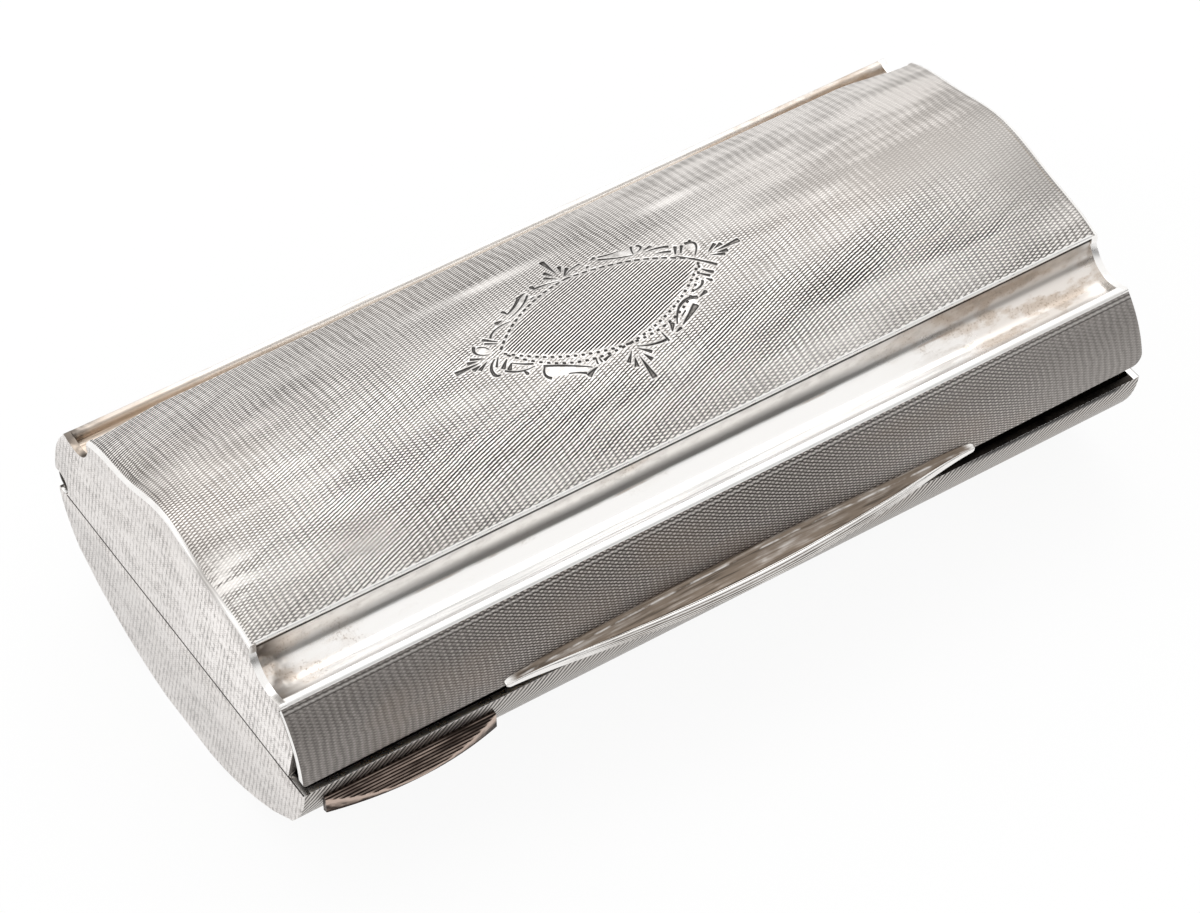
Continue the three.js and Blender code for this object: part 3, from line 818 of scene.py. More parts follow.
# Scrolls between the palmettes: start, bend, end, then the width at the start and at the end
scrolls = {
    "upperLeft": [
        ((-12.0, 2.4), (-12.9, 1.4), (-11.4, 0.75), 0.30, 0.12),
        ((-11.8, 2.1), (-11.2, 2.0), (-11.05, 1.35), 0.20, 0.12),
        ((-10.9, 2.75), (-10.4, 2.25), (-9.9, 1.75), 0.36, 0.14),
        ((-11.0, 2.2), (-10.5, 1.85), (-10.0, 1.55), 0.28, 0.12),
        ((-10.2, 2.5), (-9.4, 3.6), (-7.5, 3.45), 0.22, 0.14),
        ((-8.0, 4.0), (-8.35, 3.98), (-8.7, 3.95), 0.10, 0.42),
        ((-7.2, 4.45), (-6.2, 4.8), (-5.2, 5.75), 0.20, 0.30),
        ((-7.2, 4.4), (-7.2, 4.75), (-7.4, 5.05), 0.14, 0.34),
        ((-4.2, 6.1), (-4.8, 6.0), (-5.3, 5.75), 0.10, 0.40),
        ((-7.5, 3.8), (-5.5, 4.3), (-4.3, 5.65), 0.12, 0.22),
        ((-4.4, 4.95), (-4.15, 5.02), (-3.9, 5.1), 0.22, 0.14),
        ((-0.9, 5.6), (-2.3, 6.05), (-3.4, 6.05), 0.12, 0.26),
        ((-3.3, 5.95), (-3.35, 6.2), (-3.4, 6.5), 0.14, 0.42),
    ],
    "upperRight": [
        ((10.9, 2.95), (12.5, 2.7), (10.8, 1.1), 0.34, 0.12),
        ((11.6, 3.1), (11.3, 2.85), (10.9, 2.9), 0.24, 0.14),
        ((9.4, 2.2), (9.7, 2.7), (10.0, 3.15), 0.14, 0.34),
        ((9.9, 2.05), (10.2, 2.5), (10.55, 2.9), 0.14, 0.28),
        ((7.4, 4.15), (8.6, 4.1), (9.5, 3.5), 0.12, 0.34),
        ((8.1, 3.35), (8.7, 3.2), (9.3, 2.8), 0.12, 0.30),
        ((7.4, 4.5), (7.8, 4.5), (8.3, 4.6), 0.10, 0.34),
        ((6.4, 4.55), (6.6, 5.4), (6.9, 5.7), 0.12, 0.26),
        ((7.3, 5.5), (7.9, 4.9), (6.8, 4.6), 0.30, 0.12),
        ((3.5, 6.0), (5.0, 4.9), (6.3, 4.5), 0.26, 0.14),
        ((5.6, 5.9), (4.7, 5.95), (3.7, 6.35), 0.12, 0.26),
        ((2.8, 6.4), (3.1, 6.4), (3.45, 6.55), 0.12, 0.30),
        ((-0.1, 5.9), (0.8, 6.5), (1.9, 6.6), 0.12, 0.24),
        ((2.0, 5.6), (2.1, 5.65), (2.25, 5.75), 0.16, 0.28),
    ],
    "lowerLeft": [
        ((-11.3, 0.0), (-12.5, -0.7), (-12.3, -1.75), 0.14, 0.36),
        ((-11.8, -1.85), (-12.1, -1.95), (-12.3, -1.75), 0.12, 0.30),
        ((-10.9, 0.05), (-11.3, -0.4), (-11.7, -0.95), 0.12, 0.22),
        ((-10.4, -0.6), (-10.9, -1.0), (-11.3, -1.4), 0.14, 0.38),
        ((-10.3, -1.2), (-10.6, -1.5), (-10.9, -1.8), 0.14, 0.38),
        ((-11.3, -1.7), (-10.3, -2.75), (-8.7, -2.6), 0.22, 0.12),
        ((-9.85, -2.5), (-9.8, -2.75), (-9.75, -3.05), 0.12, 0.36),
        ((-10.3, -1.2), (-9.6, -1.9), (-8.7, -2.3), 0.14, 0.22),
        ((-8.1, -3.0), (-6.4, -3.85), (-4.4, -5.3), 0.26, 0.14),
        ((-8.0, -3.1), (-8.9, -3.9), (-8.2, -4.55), 0.14, 0.32),
        ((-6.6, -4.85), (-5.8, -5.1), (-5.2, -5.6), 0.12, 0.24),
        ((-4.0, -5.5), (-4.6, -5.6), (-5.2, -5.95), 0.12, 0.46),
        ((-3.6, -4.6), (-3.75, -4.9), (-3.8, -5.25), 0.12, 0.20),
        ((-3.3, -4.7), (-3.4, -4.95), (-3.35, -5.25), 0.12, 0.20),
        ((-2.2, -5.0), (-2.6, -5.0), (-3.1, -5.2), 0.12, 0.30),
    ],
    "lowerRight": [
        ((9.2, 2.1), (10.6, 0.6), (11.8, -1.0), 0.12, 0.28),
        ((9.8, -1.0), (10.1, -1.4), (10.5, -1.8), 0.14, 0.30),
        ((10.3, -0.7), (10.6, -1.2), (11.0, -1.6), 0.14, 0.36),
        ((10.0, -1.85), (10.15, -2.1), (10.3, -2.35), 0.12, 0.34),
        ((7.9, -2.5), (9.2, -2.7), (9.6, -1.9), 0.12, 0.26),
        ((4.8, -5.0), (6.3, -2.3), (8.1, -3.35), 0.14, 0.36),
        ((8.3, -3.4), (8.7, -3.3), (9.15, -3.15), 0.12, 0.38),
        ((5.2, -5.3), (6.2, -4.8), (7.5, -4.0), 0.14, 0.56),
        ((5.6, -4.5), (5.9, -4.3), (6.3, -4.1), 0.12, 0.18),
        ((3.95, -5.5), (4.2, -5.1), (4.45, -4.7), 0.12, 0.42),
        ((4.2, -5.7), (4.5, -5.6), (4.9, -5.5), 0.12, 0.30),
        ((0.3, -5.3), (1.5, -5.95), (3.0, -5.95), 0.12, 0.26),
        ((3.05, -5.1), (3.1, -5.6), (3.15, -6.2), 0.12, 0.24),
    ],
}

# Broad bright leaves that lie under the cuts: start, bend, end and the width at each end
facets = [
    ((-8.3, -3.7), (-6.8, -4.2), (-5.0, -5.3), 0.9, 0.5),
    ((-6.9, 4.2), (-5.6, 4.8), (-4.4, 5.8), 0.4, 0.6),
    ((3.8, 6.1), (5.0, 5.4), (6.3, 5.0), 0.5, 0.6),
    ((5.6, -4.4), (6.5, -3.6), (7.6, -3.6), 0.6, 0.5),
    ((-11.8, 1.6), (-11.5, 1.3), (-11.2, 1.1), 0.6, 0.5),
    ((11.2, 2.4), (11.5, 2.2), (11.2, 1.7), 0.7, 0.6),
]


def bowed(first, last, bow, share):  # point on a border that swells out between two corners
    chord = Vector(last) - Vector(first)
    out = Vector((-chord.y, chord.x)).normalized()
    spot = Vector(first) + chord * share
    if out.dot(spot) < 0:
        out = -out
    return spot + out * bow * 4 * share * (1 - share)


def curve(start, bend, end, wide, thin):  # points along a stroke with the width at each
    points = []
    for i in range(cartouche["steps"] + 1):
        share = i / cartouche["steps"]
        points.append((pulled(start, bend, end, share), wide + (thin - wide) * share))
    return points


def listCuts():
    cuts = [curve(*stroke) for strokes in scrolls.values() for stroke in strokes]
    for root, heading, spread in cartouche["palmettes"]:
        for angle, near, far, width in cartouche["leaves"]:
            turn = math.radians(heading + angle * spread)
            way = Vector((math.cos(turn), math.sin(turn)))
            cuts.append([(Vector(root) + way * near, cartouche["stem"]), (Vector(root) + way * far, width)])
    corners = cartouche["corners"]
    for peak, row, count, length in cartouche["rows"]:
        bow = cartouche["bow"] + row * cartouche["rowGap"]
        for foot in ("left", "right"):
            for i in range(count):
                near = (i + 0.5 + row * cartouche["rowShift"]) / count
                shares = (near, near + length / count)
                ends = [bowed(corners[foot], corners[peak], bow, share) for share in shares]
                cuts.append(list(zip(ends, cartouche["markWidths"])))
    return cuts


def strokeGap(spots, points):  # which spots lie near a stroke, and how far outside it
    for (a, wideA), (b, wideB) in zip(points, points[1:]):
        low = np.minimum(a, b) - cartouche["near"]
        high = np.maximum(a, b) + cartouche["near"]
        near = np.nonzero(np.all((spots > low) & (spots < high), axis=1))[0]
        way = np.array(b - a)
        reach = (spots[near] - np.array(a)) @ way / (way @ way)
        along = np.clip(reach, 0, 1)
        away = np.linalg.norm(spots[near] - np.array(a) - along[:, None] * way, axis=1)
        half = (wideA + (wideB - wideA) * along) / 2 * cartouche["broad"]
        before = -reach if a is points[0][0] else reach * 0
        after = reach - 1 if b is points[-1][0] else reach * 0
        past = np.maximum(before, after) * np.linalg.norm(way)  # strokes end square
        yield near, np.where(past > 0, np.maximum(away - half, past), away - half)


def measureCuts(spots):  # depth of cut in mm and share of bare silver at each spot
    depth = np.zeros(len(spots))
    bare = np.zeros(len(spots))
    for points in listCuts():
        for near, gap in strokeGap(spots, points):
            cutHere = np.clip(-gap * cartouche["slope"], 0, cartouche["cut"] / mm)
            depth[near] = np.maximum(depth[near], cutHere)
            bare[near] = np.maximum(bare[near], np.clip(1 - gap / cartouche["rubbed"], 0, 1))
    for facet in facets:
        for near, gap in strokeGap(spots, curve(*facet)):
            bare[near] = np.maximum(bare[near], np.clip(1 - gap / cartouche["facetRub"], 0, 1))
    return depth, bare


# Domes

domeLook = {
    "fineX": 16.4 * mm,  # half length and width of the finer mesh under the cuts
    "fineY": 9.6 * mm,
    "cell": 0.2 * mm,
    "splits": 3,  # cuts in each cell beside a stroke
    "coarse": 1.0 * mm,
    "hiddenCuts": 60,
    "sideSteps": 10,
    "baseSteps": 20,
    "innerSteps": 24,
    "dent": 0.06 * mm,
    "dentSize": 7 * mm,
    "edge": 0.2 * mm,
    "endReach": 6.0 * mm,  # how far in the lid is rubbed flatter towards its ends
    "leftWear": 1.1 * mm,
    "rightWear": 0.6 * mm,
    "swell": (0.6 * mm, 1.05 * mm),  # how far the lid's back edge stands out, at the left and at the right
    "swellFrom": 8.0 * mm,
    "swellEnds": 8.0 * mm,
}


def endWear(place):
    near = max(0, 1 - (boxEnd - abs(place.x)) / domeLook["endReach"])
    amount = domeLook["leftWear"] if place.x < 0 else domeLook["rightWear"]
    return amount * near**2 * math.sin(math.pi * min(1, abs(place.y) / domeHalf)) ** 2


def ease(share):
    share = min(1, max(0, share))
    return share * share * (3 - 2 * share)


def rearSwell(place):
    left, right = domeLook["swell"]
    amount = left + (right - left) * (place.x + innerEnd) / (2 * innerEnd)
    inFromEnd = ease((innerEnd - abs(place.x)) / domeLook["swellEnds"])
    return amount * inFromEnd * ease((place.y - domeLook["swellFrom"]) / (domeHalf - domeLook["swellFrom"]))


def domeOutline(half):
    fineAngle = math.degrees(math.asin(domeLook["fineY"] / domeRadius))
    flatAngle = math.degrees(math.asin(restHalf / domeRadius))
    beadFoot = domeEdge - shell["bead"]
    bm, vert = startAt(fluteWall, domeSeat)
    vert = lineTo(bm, vert, fluteWall, beadFoot)
    vert = lineTo(bm, vert, domeHalf, beadFoot)
    vert = lineTo(bm, vert, domeHalf, domeEdge)
    if half == "base":
        vert = arcTo(bm, vert, 0, domeCentre, domeReach - flatAngle, domeLook["baseSteps"])
        vert = lineTo(bm, vert, -restHalf, restTop)
        vert = arcTo(bm, vert, 0, domeCentre, domeReach - flatAngle, domeLook["baseSteps"])
    else:
        fineSteps = round(2 * domeLook["fineY"] / domeLook["cell"])
        vert = arcTo(bm, vert, 0, domeCentre, domeReach - fineAngle, domeLook["sideSteps"])
        vert = arcTo(bm, vert, 0, domeCentre, 2 * fineAngle, fineSteps)
        vert = arcTo(bm, vert, 0, domeCentre, domeReach - fineAngle, domeLook["sideSteps"])
    rimY = domeHalf - sheet
    innerReach = math.degrees(math.asin(rimY / (domeRadius - sheet)))
    innerEdge = domeCentre + math.sqrt((domeRadius - sheet) ** 2 - rimY**2)
    vert = lineTo(bm, vert, -domeHalf, beadFoot)
    vert = lineTo(bm, vert, -fluteWall, beadFoot)
    vert = lineTo(bm, vert, -fluteWall, domeSeat)
    vert = lineTo(bm, vert, -rimY, domeSeat)
    vert = lineTo(bm, vert, -rimY, innerEdge)
    vert = arcTo(bm, vert, 0, domeCentre, -2 * innerReach, domeLook["innerSteps"])
    lineTo(bm, vert, rimY, domeSeat)
    return bm


def onSkin(place):
    return math.hypot(place.y, place.z - domeCentre) > domeRadius - sheet / 2 and place.z > domeSeat + sheet


def skinEdges(bm, low, high):  # long edges on the outer face of the dome, between two places along X
    found = []
    for edge in longEdges(bm):
        if all(onSkin(v.co) and low - tiny < v.co.x < high + tiny for v in edge.verts):
            found.append(edge)
    return found


def refineDome(bm):  # fine cells under the cartouche, finer ones beside its strokes
    fineX = domeLook["fineX"]
    for cutX in (-fineX, fineX):
        skin = skinEdges(bm, -innerEnd, innerEnd)
        faces = dict.fromkeys(f for e in skin for f in e.link_faces)  # each one once
        verts = dict.fromkeys(v for e in skin for v in e.verts)
        geom = [*skin, *faces, *verts]
        bmesh.ops.bisect_plane(bm, geom=geom, plane_co=(cutX, 0, 0), plane_no=(1, 0, 0))
    middle = skinEdges(bm, -fineX, fineX)
    ends = skinEdges(bm, -innerEnd, -fineX) + skinEdges(bm, fineX, innerEnd)
    fineCuts = round(2 * fineX / domeLook["cell"]) - 1
    endCuts = round((innerEnd - fineX) / domeLook["coarse"]) - 1
    bmesh.ops.subdivide_edges(bm, edges=middle, cuts=fineCuts, use_grid_fill=True)
    bmesh.ops.subdivide_edges(bm, edges=ends, cuts=endCuts, use_grid_fill=True)
    bm.verts.index_update()
    spots = np.array([v.co.xy for v in bm.verts]) / mm
    near = measureCuts(spots)[1] > 0
    beside = [e for e in bm.edges if all(near[v.index] and onSkin(v.co) for v in e.verts)]
    bmesh.ops.subdivide_edges(bm, edges=beside, cuts=domeLook["splits"], use_grid_fill=True)
    for vert in bm.verts:  # the new points go back onto the round of the dome
        if onSkin(vert.co) and abs(vert.co.y) < domeLook["fineY"]:
            vert.co.z = domeCentre + math.sqrt(domeRadius**2 - vert.co.y**2)
    hidden = [e for e in longEdges(bm) if e.calc_length() > innerEnd]
    bmesh.ops.subdivide_edges(bm, edges=hidden, cuts=domeLook["hiddenCuts"], use_grid_fill=True)


def roundDomeEdges(bm):
    low = domeEdge - shell["bead"] / 2
    corner = []
    for edge in longEdges(bm):
        if all(abs(abs(v.co.y) - domeHalf) < tiny and v.co.z > low for v in edge.verts):
            corner.append(edge)
    roundOff(bm, corner, domeLook["edge"])


def cutDome(bm):
    cut = bm.verts.layers.float.new("cut")
    rubbed = bm.verts.layers.float.new("rubbed")
    spots = np.array([v.co.xy for v in bm.verts]) / mm
    depth, bare = measureCuts(spots)
    for vert, deep, share in zip(bm.verts, depth, bare):
        if onSkin(vert.co):
            vert[cut] = deep * mm / cartouche["cut"]
            vert[rubbed] = share
            vert.co.z += dentBy(vert.co, domeLook["dentSize"], domeLook["dent"]) - deep * mm
    for vert in bm.verts:
        vert.co.z -= endWear(vert.co)


domeFinishes = ["top", "edge", "gilt", "polished"]


def paintDome(bm):  # bead and wall outside, gilding underneath
    for face in bm.faces:
        spot = face.calc_center_median()
        y, h = inSection(spot)
        turned = face.material_index == domeFinishes.index("top")
        inside = math.hypot(y, h - domeCentre) < domeRadius - sheet / 2
        if y > domeHalf - tiny:
            paint(face, domeFinishes, "edge")
        elif y > fluteWall - tiny and h < domeEdge - shell["bead"] + tiny:
            paint(face, domeFinishes, "polished")
        elif turned and inside and facesIn(spot, face.normal):
            paint(face, domeFinishes, "gilt")


def makeDome(half, node):
    bm = domeOutline(half)
    if half == "lid":
        drawOut(bm, -innerEnd, innerEnd, 0)
        refineDome(bm)
        cutDome(bm)
    else:
        drawOut(bm, -innerEnd, innerEnd, domeLook["hiddenCuts"])
    roundDomeEdges(bm)
    turnTo(bm, 1, halves[half])
    paintDome(bm)
    if half == "lid":
        for vert in bm.verts:
            vert.co.y += rearSwell(vert.co)
    finishPiece(bm, f"{half}_dome", half, [node], domeFinishes)


makeDome("lid", "lid_crown_panel")
makeDome("base", "base_bottom_panel")
print("domes made")

# Flutes with their lips

fluteLook = {
    "cuts": 90,
    "dent": 0.03 * mm,
    "dentSize": 9 * mm,
    "steps": 40,
    "bendSteps": 8,
    "flat": 1.0 * mm,  # how far the flat bottom runs out from the round one, and how far it falls
    "fall": 0.05 * mm,
    "lean": 0.15 * mm,  # how far out the rise to the lip stands
    "toe": 0.02 * mm,
    "lipWidth": 0.8 * mm,
    "lipRise": 0.04 * mm,
    "lipInner": (-0.05 * mm, 0.2 * mm),  # corner and end of the lip's inner round
    "lipOuter": (0.08 * mm, 0.3 * mm),  # corner and start of its outer round, in from its edge
}


def bendTo(bm, vert, bend, end):  # soft curve pulled towards a corner
    start = Vector((vert.co.y, vert.co.z))
    for i in range(fluteLook["bendSteps"]):
        vert = lineTo(bm, vert, *pulled(start, bend, end, (i + 1) / fluteLook["bendSteps"]))
    return vert


def lipTo(bm, vert):  # flat bottom, short rise and broad lip down to the top of the side panel
    bottom = fluteH - fluteRadius
    flatEnd = fluteY + fluteLook["flat"]
    shoulder = lipY - fluteLook["lipWidth"]
    crest = lipTop + fluteLook["lipRise"]
    toe = fluteLook["toe"]
    riseY = (flatEnd + shoulder) / 2 + fluteLook["lean"]
    inner = [(shoulder + past, crest) for past in fluteLook["lipInner"]]
    outerCorner, outerStart = [(lipY - inset, crest - toe) for inset in fluteLook["lipOuter"]]
    vert = lineTo(bm, vert, flatEnd, bottom - fluteLook["fall"])
    vert = bendTo(bm, vert, (riseY, bottom - toe), (riseY, (bottom + crest) / 2))
    vert = bendTo(bm, vert, *inner)
    vert = lineTo(bm, vert, *outerStart)
    return bendTo(bm, vert, outerCorner, (lipY, lipSeat))


def behindFlute(place, normal):
    y, h = inSection(place)
    outside = math.hypot(y - fluteY, h - fluteH) > fluteRadius + sheet / 2
    towardsHollow = normal.y * place.y < 0 or normal.z * (place.z - midZ) < 0
    return outside and towardsHollow and h < domeSeat - tiny


def makeFlute(half, side):
    back = fluteRadius + sheet
    backAngle = -math.degrees(math.acos((tuckY - fluteY) / back))
    bm, vert = startAt(fluteWall, domeSeat)
    vert = lineTo(bm, vert, fluteWall, fluteH)
    vert = arcTo(bm, vert, fluteY, fluteH, 90, fluteLook["steps"])
    vert = lipTo(bm, vert)
    vert = lineTo(bm, vert, tuckY, fluteH + back * math.sin(math.radians(backAngle)))
    vert = arcTo(bm, vert, fluteY, fluteH, -(180 + backAngle), fluteLook["steps"])
    lineTo(bm, vert, fluteWall - sheet, domeSeat)
    drawOut(bm, -innerEnd, innerEnd, fluteLook["cuts"])
    for vert in bm.verts:
        if abs(vert.co.x) < innerEnd - tiny:
            vert.co.z += dentBy(vert.co, fluteLook["dentSize"], fluteLook["dent"])
    turnTo(bm, sides[side], halves[half])
    gild(bm, behindFlute)
    name = f"{half}_{side}_flute"
    if name == "lid_rear_flute":
        bottom = fluteH - fluteRadius
        for vert in bm.verts:  # its wall follows the back edge of the dome
            if vert.co.y < fluteY:
                vert.co.y += rearSwell(vert.co) * ease((vert.co.z - midZ - bottom) / (domeSeat - bottom))
    finishPiece(bm, name + "_drawn", half, [name], ["polished", "edge", "gilt"], 50)


for half in halves:
    for side in sides:
        makeFlute(half, side)
print("flutes made")

# Long side panels

panelLook = {
    "cuts": 60,
    "steps": 20,
    "leftRound": 0.4 * mm,
    "rightRound": 1.2 * mm,
    "cornerCuts": 7,
    "slant": 0.6 * mm,  # rise of the lid's front edge from left to right
    "blackFrom": 22 * mm,  # painted shade and tarnish on the rim of the base's front, on the right
}
panelFinishes = ["side", "edge", "gilt", "gap"]


def cutCorner(bm, end, radius, tipX, edge):  # rounds a lower corner with flat cuts round its centre
    centre = Vector((end * (tipX - radius), 0, edge + radius))
    for i in range(panelLook["cornerCuts"]):
        turn = math.radians(90 * (i + 0.5) / panelLook["cornerCuts"])
        way = Vector((end * math.cos(turn), 0, -math.sin(turn)))
        cutAway(bm, centre + way * radius, way)


def trimFront(bm, tipX, edge):  # slanted lower edge of the lid's front, with its rounded corners
    left = panelLook["leftRound"]
    right = panelLook["rightRound"]
    slope = panelLook["slant"] / (2 * tipX - left - right)
    cutAway(bm, Vector((left - tipX, 0, edge)), Vector((slope, 0, -1)).normalized())
    cutCorner(bm, -1, left, tipX, edge)
    cutCorner(bm, 1, right, tipX, edge + panelLook["slant"])


def paintPanel(bm):  # gilding inside, worn silver on the cut edges, painted shade and tarnish on the base front's rim at the right
    for face in bm.faces:
        spot = face.calc_center_median()
        out = Vector((0, spot.y - math.copysign(sideCentre, spot.y), spot.z - midZ)).normalized()
        facing = face.normal.dot(out)
        onBlackRim = spot.z < midZ and spot.y < 0 and spot.x > panelLook["blackFrom"]
        if facing < -0.5:
            paint(face, panelFinishes, "gilt")
        elif facing < 0.7:
            paint(face, panelFinishes, "gap" if onBlackRim else "edge")


def makePanel(half, side):
    name = f"{half}_{side}_panel"
    low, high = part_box(name)
    edge = low.z - midZ if half == "lid" else midZ - high.z
    inner = sideRadius - sheet
    arc = math.degrees(math.asin(lipSeat / sideRadius) - math.asin(edge / sideRadius))
    innerArc = math.degrees(math.asin(tuckH / inner) - math.asin(edge / inner))
    bm, vert = startAt(lipY, lipSeat)
    vert = arcTo(bm, vert, sideCentre, 0, -arc, panelLook["steps"])
    vert = lineTo(bm, vert, sideCentre + math.sqrt(inner**2 - edge**2), edge)
    arcTo(bm, vert, sideCentre, 0, innerArc, panelLook["steps"])
    drawOut(bm, low.x, high.x, panelLook["cuts"])
    if high.x > innerEnd + tiny:
        trimFront(bm, high.x, edge)
    rims = [e for e in sharpEdges(bm, 50) if min(v.co.z for v in e.verts) < tuckH - tiny]
    roundOff(bm, rims, shell["worn"], 2)
    turnTo(bm, sides[side], halves[half])
    paintPanel(bm)
    finishPiece(bm, name + "_turned", half, [name], panelFinishes)


for half in halves:
    for side in sides:
        makePanel(half, side)
print("panels made")

# Flat pieces that keep the frame's outline: end plates, bezel and hinge bearers

plateFinishes = ["end", "edge", "gilt", "top", "gap", "side", "polished"]


def copyNode(node):
    bm = bmesh.new()
    bm.from_mesh(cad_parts[node].data)
    bmesh.ops.remove_doubles(bm, verts=bm.verts, dist=tiny)
    bmesh.ops.dissolve_limit(bm, angle_limit=math.radians(0.5), verts=bm.verts, edges=bm.edges)
    return bm


def insidePlate(place, normal):
    return abs(place.x) < innerEnd + tiny


def outerEdges(bm, onArc):  # sharp edges round the outer face, along the crown or elsewhere
    found = []
    for edge in sharpEdges(bm, 60):
        if all(abs(v.co.x) > innerEnd + tiny for v in edge.verts):
            if all(inSection(v.co)[1] > domeEdge - tiny for v in edge.verts) == onArc:
                found.append(edge)
    return found


def paintPlate(bm, end):  # a flank goes from the inner to the outer face
    for face in bm.faces:
        spot = face.calc_center_median()
        y, h = inSection(spot)
        onArc = h > domeEdge - plateLook["edge"] and y < domeHalf
        inFlute = not onArc and y < lipY and h > lipTop - sheet
        low = h < plateLook["gapHeight"]
        across = [abs(v.co.x) for v in face.verts]
        flank = min(across) < innerEnd + tiny and max(across) > innerEnd + tiny
        rounded = face.material_index == plateFinishes.index("edge")
        if flank and onArc:
            paint(face, plateFinishes, "top")
        elif flank and inFlute:
            paint(face, plateFinishes, "polished" if end == "left" and spot.y > 0 else "edge")
        elif flank and low and abs(face.normal.z) > 0.9:  # where lid and base meet
            paint(face, plateFinishes, "edge")
        elif flank:
            # painted shade and tarnish along the front gap
            paint(face, plateFinishes, "gap" if low and y < lipY else "side")
        elif rounded and not onArc and not inFlute:
            # painted shade and tarnish along the front gap
            paint(face, plateFinishes, "gap" if low and y < lipY else "end")


def makeEnd(half, end):
    name = f"{half}_{end}_end"
    bm = copyNode(name)
    for vert in bm.verts:
        if vert.co.z - midZ > domeEdge - tiny:
            vert.co.z -= endWear(vert.co)
    roundOff(bm, outerEdges(bm, True), plateLook["edge"], 3)
    roundOff(bm, [e for e in outerEdges(bm, False) if e.calc_face_angle() > 1.2], plateLook["sideEdge"], 2)
    gild(bm, insidePlate)
    paintPlate(bm, end)
    finishPiece(bm, name + "_plate", half, [name], plateFinishes, 30)


def makeStrip(name, body, outward):  # a strip whose outer face is near-black: painted shade and tarnish
    bm = copyNode(name)
    roundOff(bm, sharpEdges(bm, 60), plateLook["bezelEdge"], 2)
    for face in bm.faces:
        face.material_index = 1 if face.normal.dot(Vector(outward)) > 0.3 else 0
    finishPiece(bm, name + "_strip", body, [name], ["gilt", "gap"])


for half in halves:
    for end in ("left", "right"):
        makeEnd(half, end)
makeStrip("bezel_front", "base", (0, -1, 0))
makeStrip("bezel_left", "base", (-1, 0, 0))
makeStrip("bezel_right", "base", (1, 0, 0))
makeStrip("lid_hinge_bearer", "lid", (0, 1, 0))
makeStrip("base_hinge_bearer", "base", (0, 1, 0))
print("ends and bezel made")

# Hinge tubes on their pin

hinge = {"bore": 0.56 * mm, "rim": 0.07 * mm, "steps": 40, "pinDome": 0.15 * mm}


def hingeLine(node):  # both ends of a tube or the pin, its axis and its radius
    low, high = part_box(node)
    return low.x, high.x, (low.y + high.y) / 2, (low.z + high.z) / 2, (high.z - low.z) / 2


def makeKnuckle(name, body):
    left, right, axisY, axisZ, radius = hingeLine(name)
    bm = bmesh.new()
    corners = [(left, hinge["bore"]), (left, radius), (right, radius), (right, hinge["bore"])]
    ring = [bm.verts.new((x, axisY, axisZ + r)) for x, r in corners]
    for vert, after in zip(ring, ring[1:] + ring[:1]):
        bm.edges.new((vert, after))
    turn = {"cent": (0, axisY, axisZ), "axis": (1, 0, 0), "angle": math.tau, "steps": hinge["steps"]}
    bmesh.ops.spin(bm, geom=bm.verts[:] + bm.edges[:], use_merge=True, **turn)
    bmesh.ops.remove_doubles(bm, verts=bm.verts, dist=tiny)
    bmesh.ops.recalc_face_normals(bm, faces=bm.faces[:])
    roundOff(bm, sharpEdges(bm, 60), hinge["rim"], 2)
    for face in bm.faces:  # the near-black gap finish on the two ends of the barrel
        if abs(face.calc_center_median().x) > innerEnd + hinge["rim"]:
            face.material_index = 2
    finishPiece(bm, name + "_tube", body, [name], ["polished", "edge", "gap"])


def makePin():
    left, right, axisY, axisZ, radius = hingeLine("hinge_pin")
    bm, vert = startAt(radius, 0)
    arcTo(bm, vert, 0, 0, 360, hinge["steps"])
    drawOut(bm, left, right, 0)
    bmesh.ops.translate(bm, verts=bm.verts, vec=(0, axisY, axisZ))
    roundOff(bm, sharpEdges(bm, 60), hinge["pinDome"], 3)
    finishPiece(bm, "hinge_pin_wire", "base", ["hinge_pin"], ["polished", "edge"])


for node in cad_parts:
    if "_knuckle_" in node:
        makeKnuckle(node, node.split("_")[0])
makePin()
print("hinge made")

# Reeded thumbpiece on the lid and reeded ledge on the base. Outlines run from the back, out and up.

thumb = {
    "tipReach": 0.55 * mm,
    "tipHeight": 0.55 * mm,
    "tipRound": 0.45 * mm,
    "tipCuts": (0.02, 0.06, 0.12, 0.2, 0.3, 0.4),  # rings in the round of a tip, in mm from its end
    "blunt": 0.35,  # share of the section that is left at the very tip
    "slim": 1.6,  # how fast the piece thins towards its tips, and how late it drops
    "drop": 0.7,
    "back": -0.2 * mm,  # soldered back, let into the panel
    "root": 0.1 * mm,
    "shelf": (2.15 * mm, 1.19 * mm),  # where the hollow top meets the first reed
    "hollow": 12,  # degrees of round in the top and in a reed
    "swell": 90,
    "arcSteps": 8,
    # ends of the reeds, outwards and down over the front
    "reeds": [
        (2.28 * mm, 1.16 * mm),
        (2.53 * mm, 1.0 * mm),
        (2.67 * mm, 0.82 * mm),
        (2.75 * mm, 0.62 * mm),
        (2.78 * mm, 0.42 * mm),
        (2.75 * mm, 0.22 * mm),
        (2.63 * mm, 0.05 * mm),
    ],
    "heel": 0.15 * mm,  # how far the foot of the front goes back under
    "reedsEnd": (0.6, 0.3),  # share of the half length where the reeds start to run out, and over how much
    "lift": (0.1 * mm, 0.45 * mm),  # rise of the left and the right tip
    "liftFrom": 0.55,
    "shelfDirt": 0.75,
    "soiled": (0.11 * mm, 0.08 * mm),  # reach of the dirt from a groove, low and high on the front
    "highFrom": 0.95 * mm,
    "stations": 110,
}


def bowTo(share, tip, middle, power=1.0):  # tip at the ends, middle in the middle, on a round bow
    return tip + (middle - tip) * max(0, 1 - share**2) ** power


def grooveDirt(vert, grooves, width):  # 1 in a groove, 0 at the width from it
    return 1 - min((vert.co - groove).length for groove in grooves) / width


def chordGaps(spot, grooves):  # how far a spot stands out from each straight line between two grooves
    gaps = []
    for a, b in zip(grooves, grooves[1:]):
        share = (spot - a).dot(b - a) / (b - a).length_squared
        gaps.append(spot - a - (b - a) * min(1, max(0, share)))
    return gaps


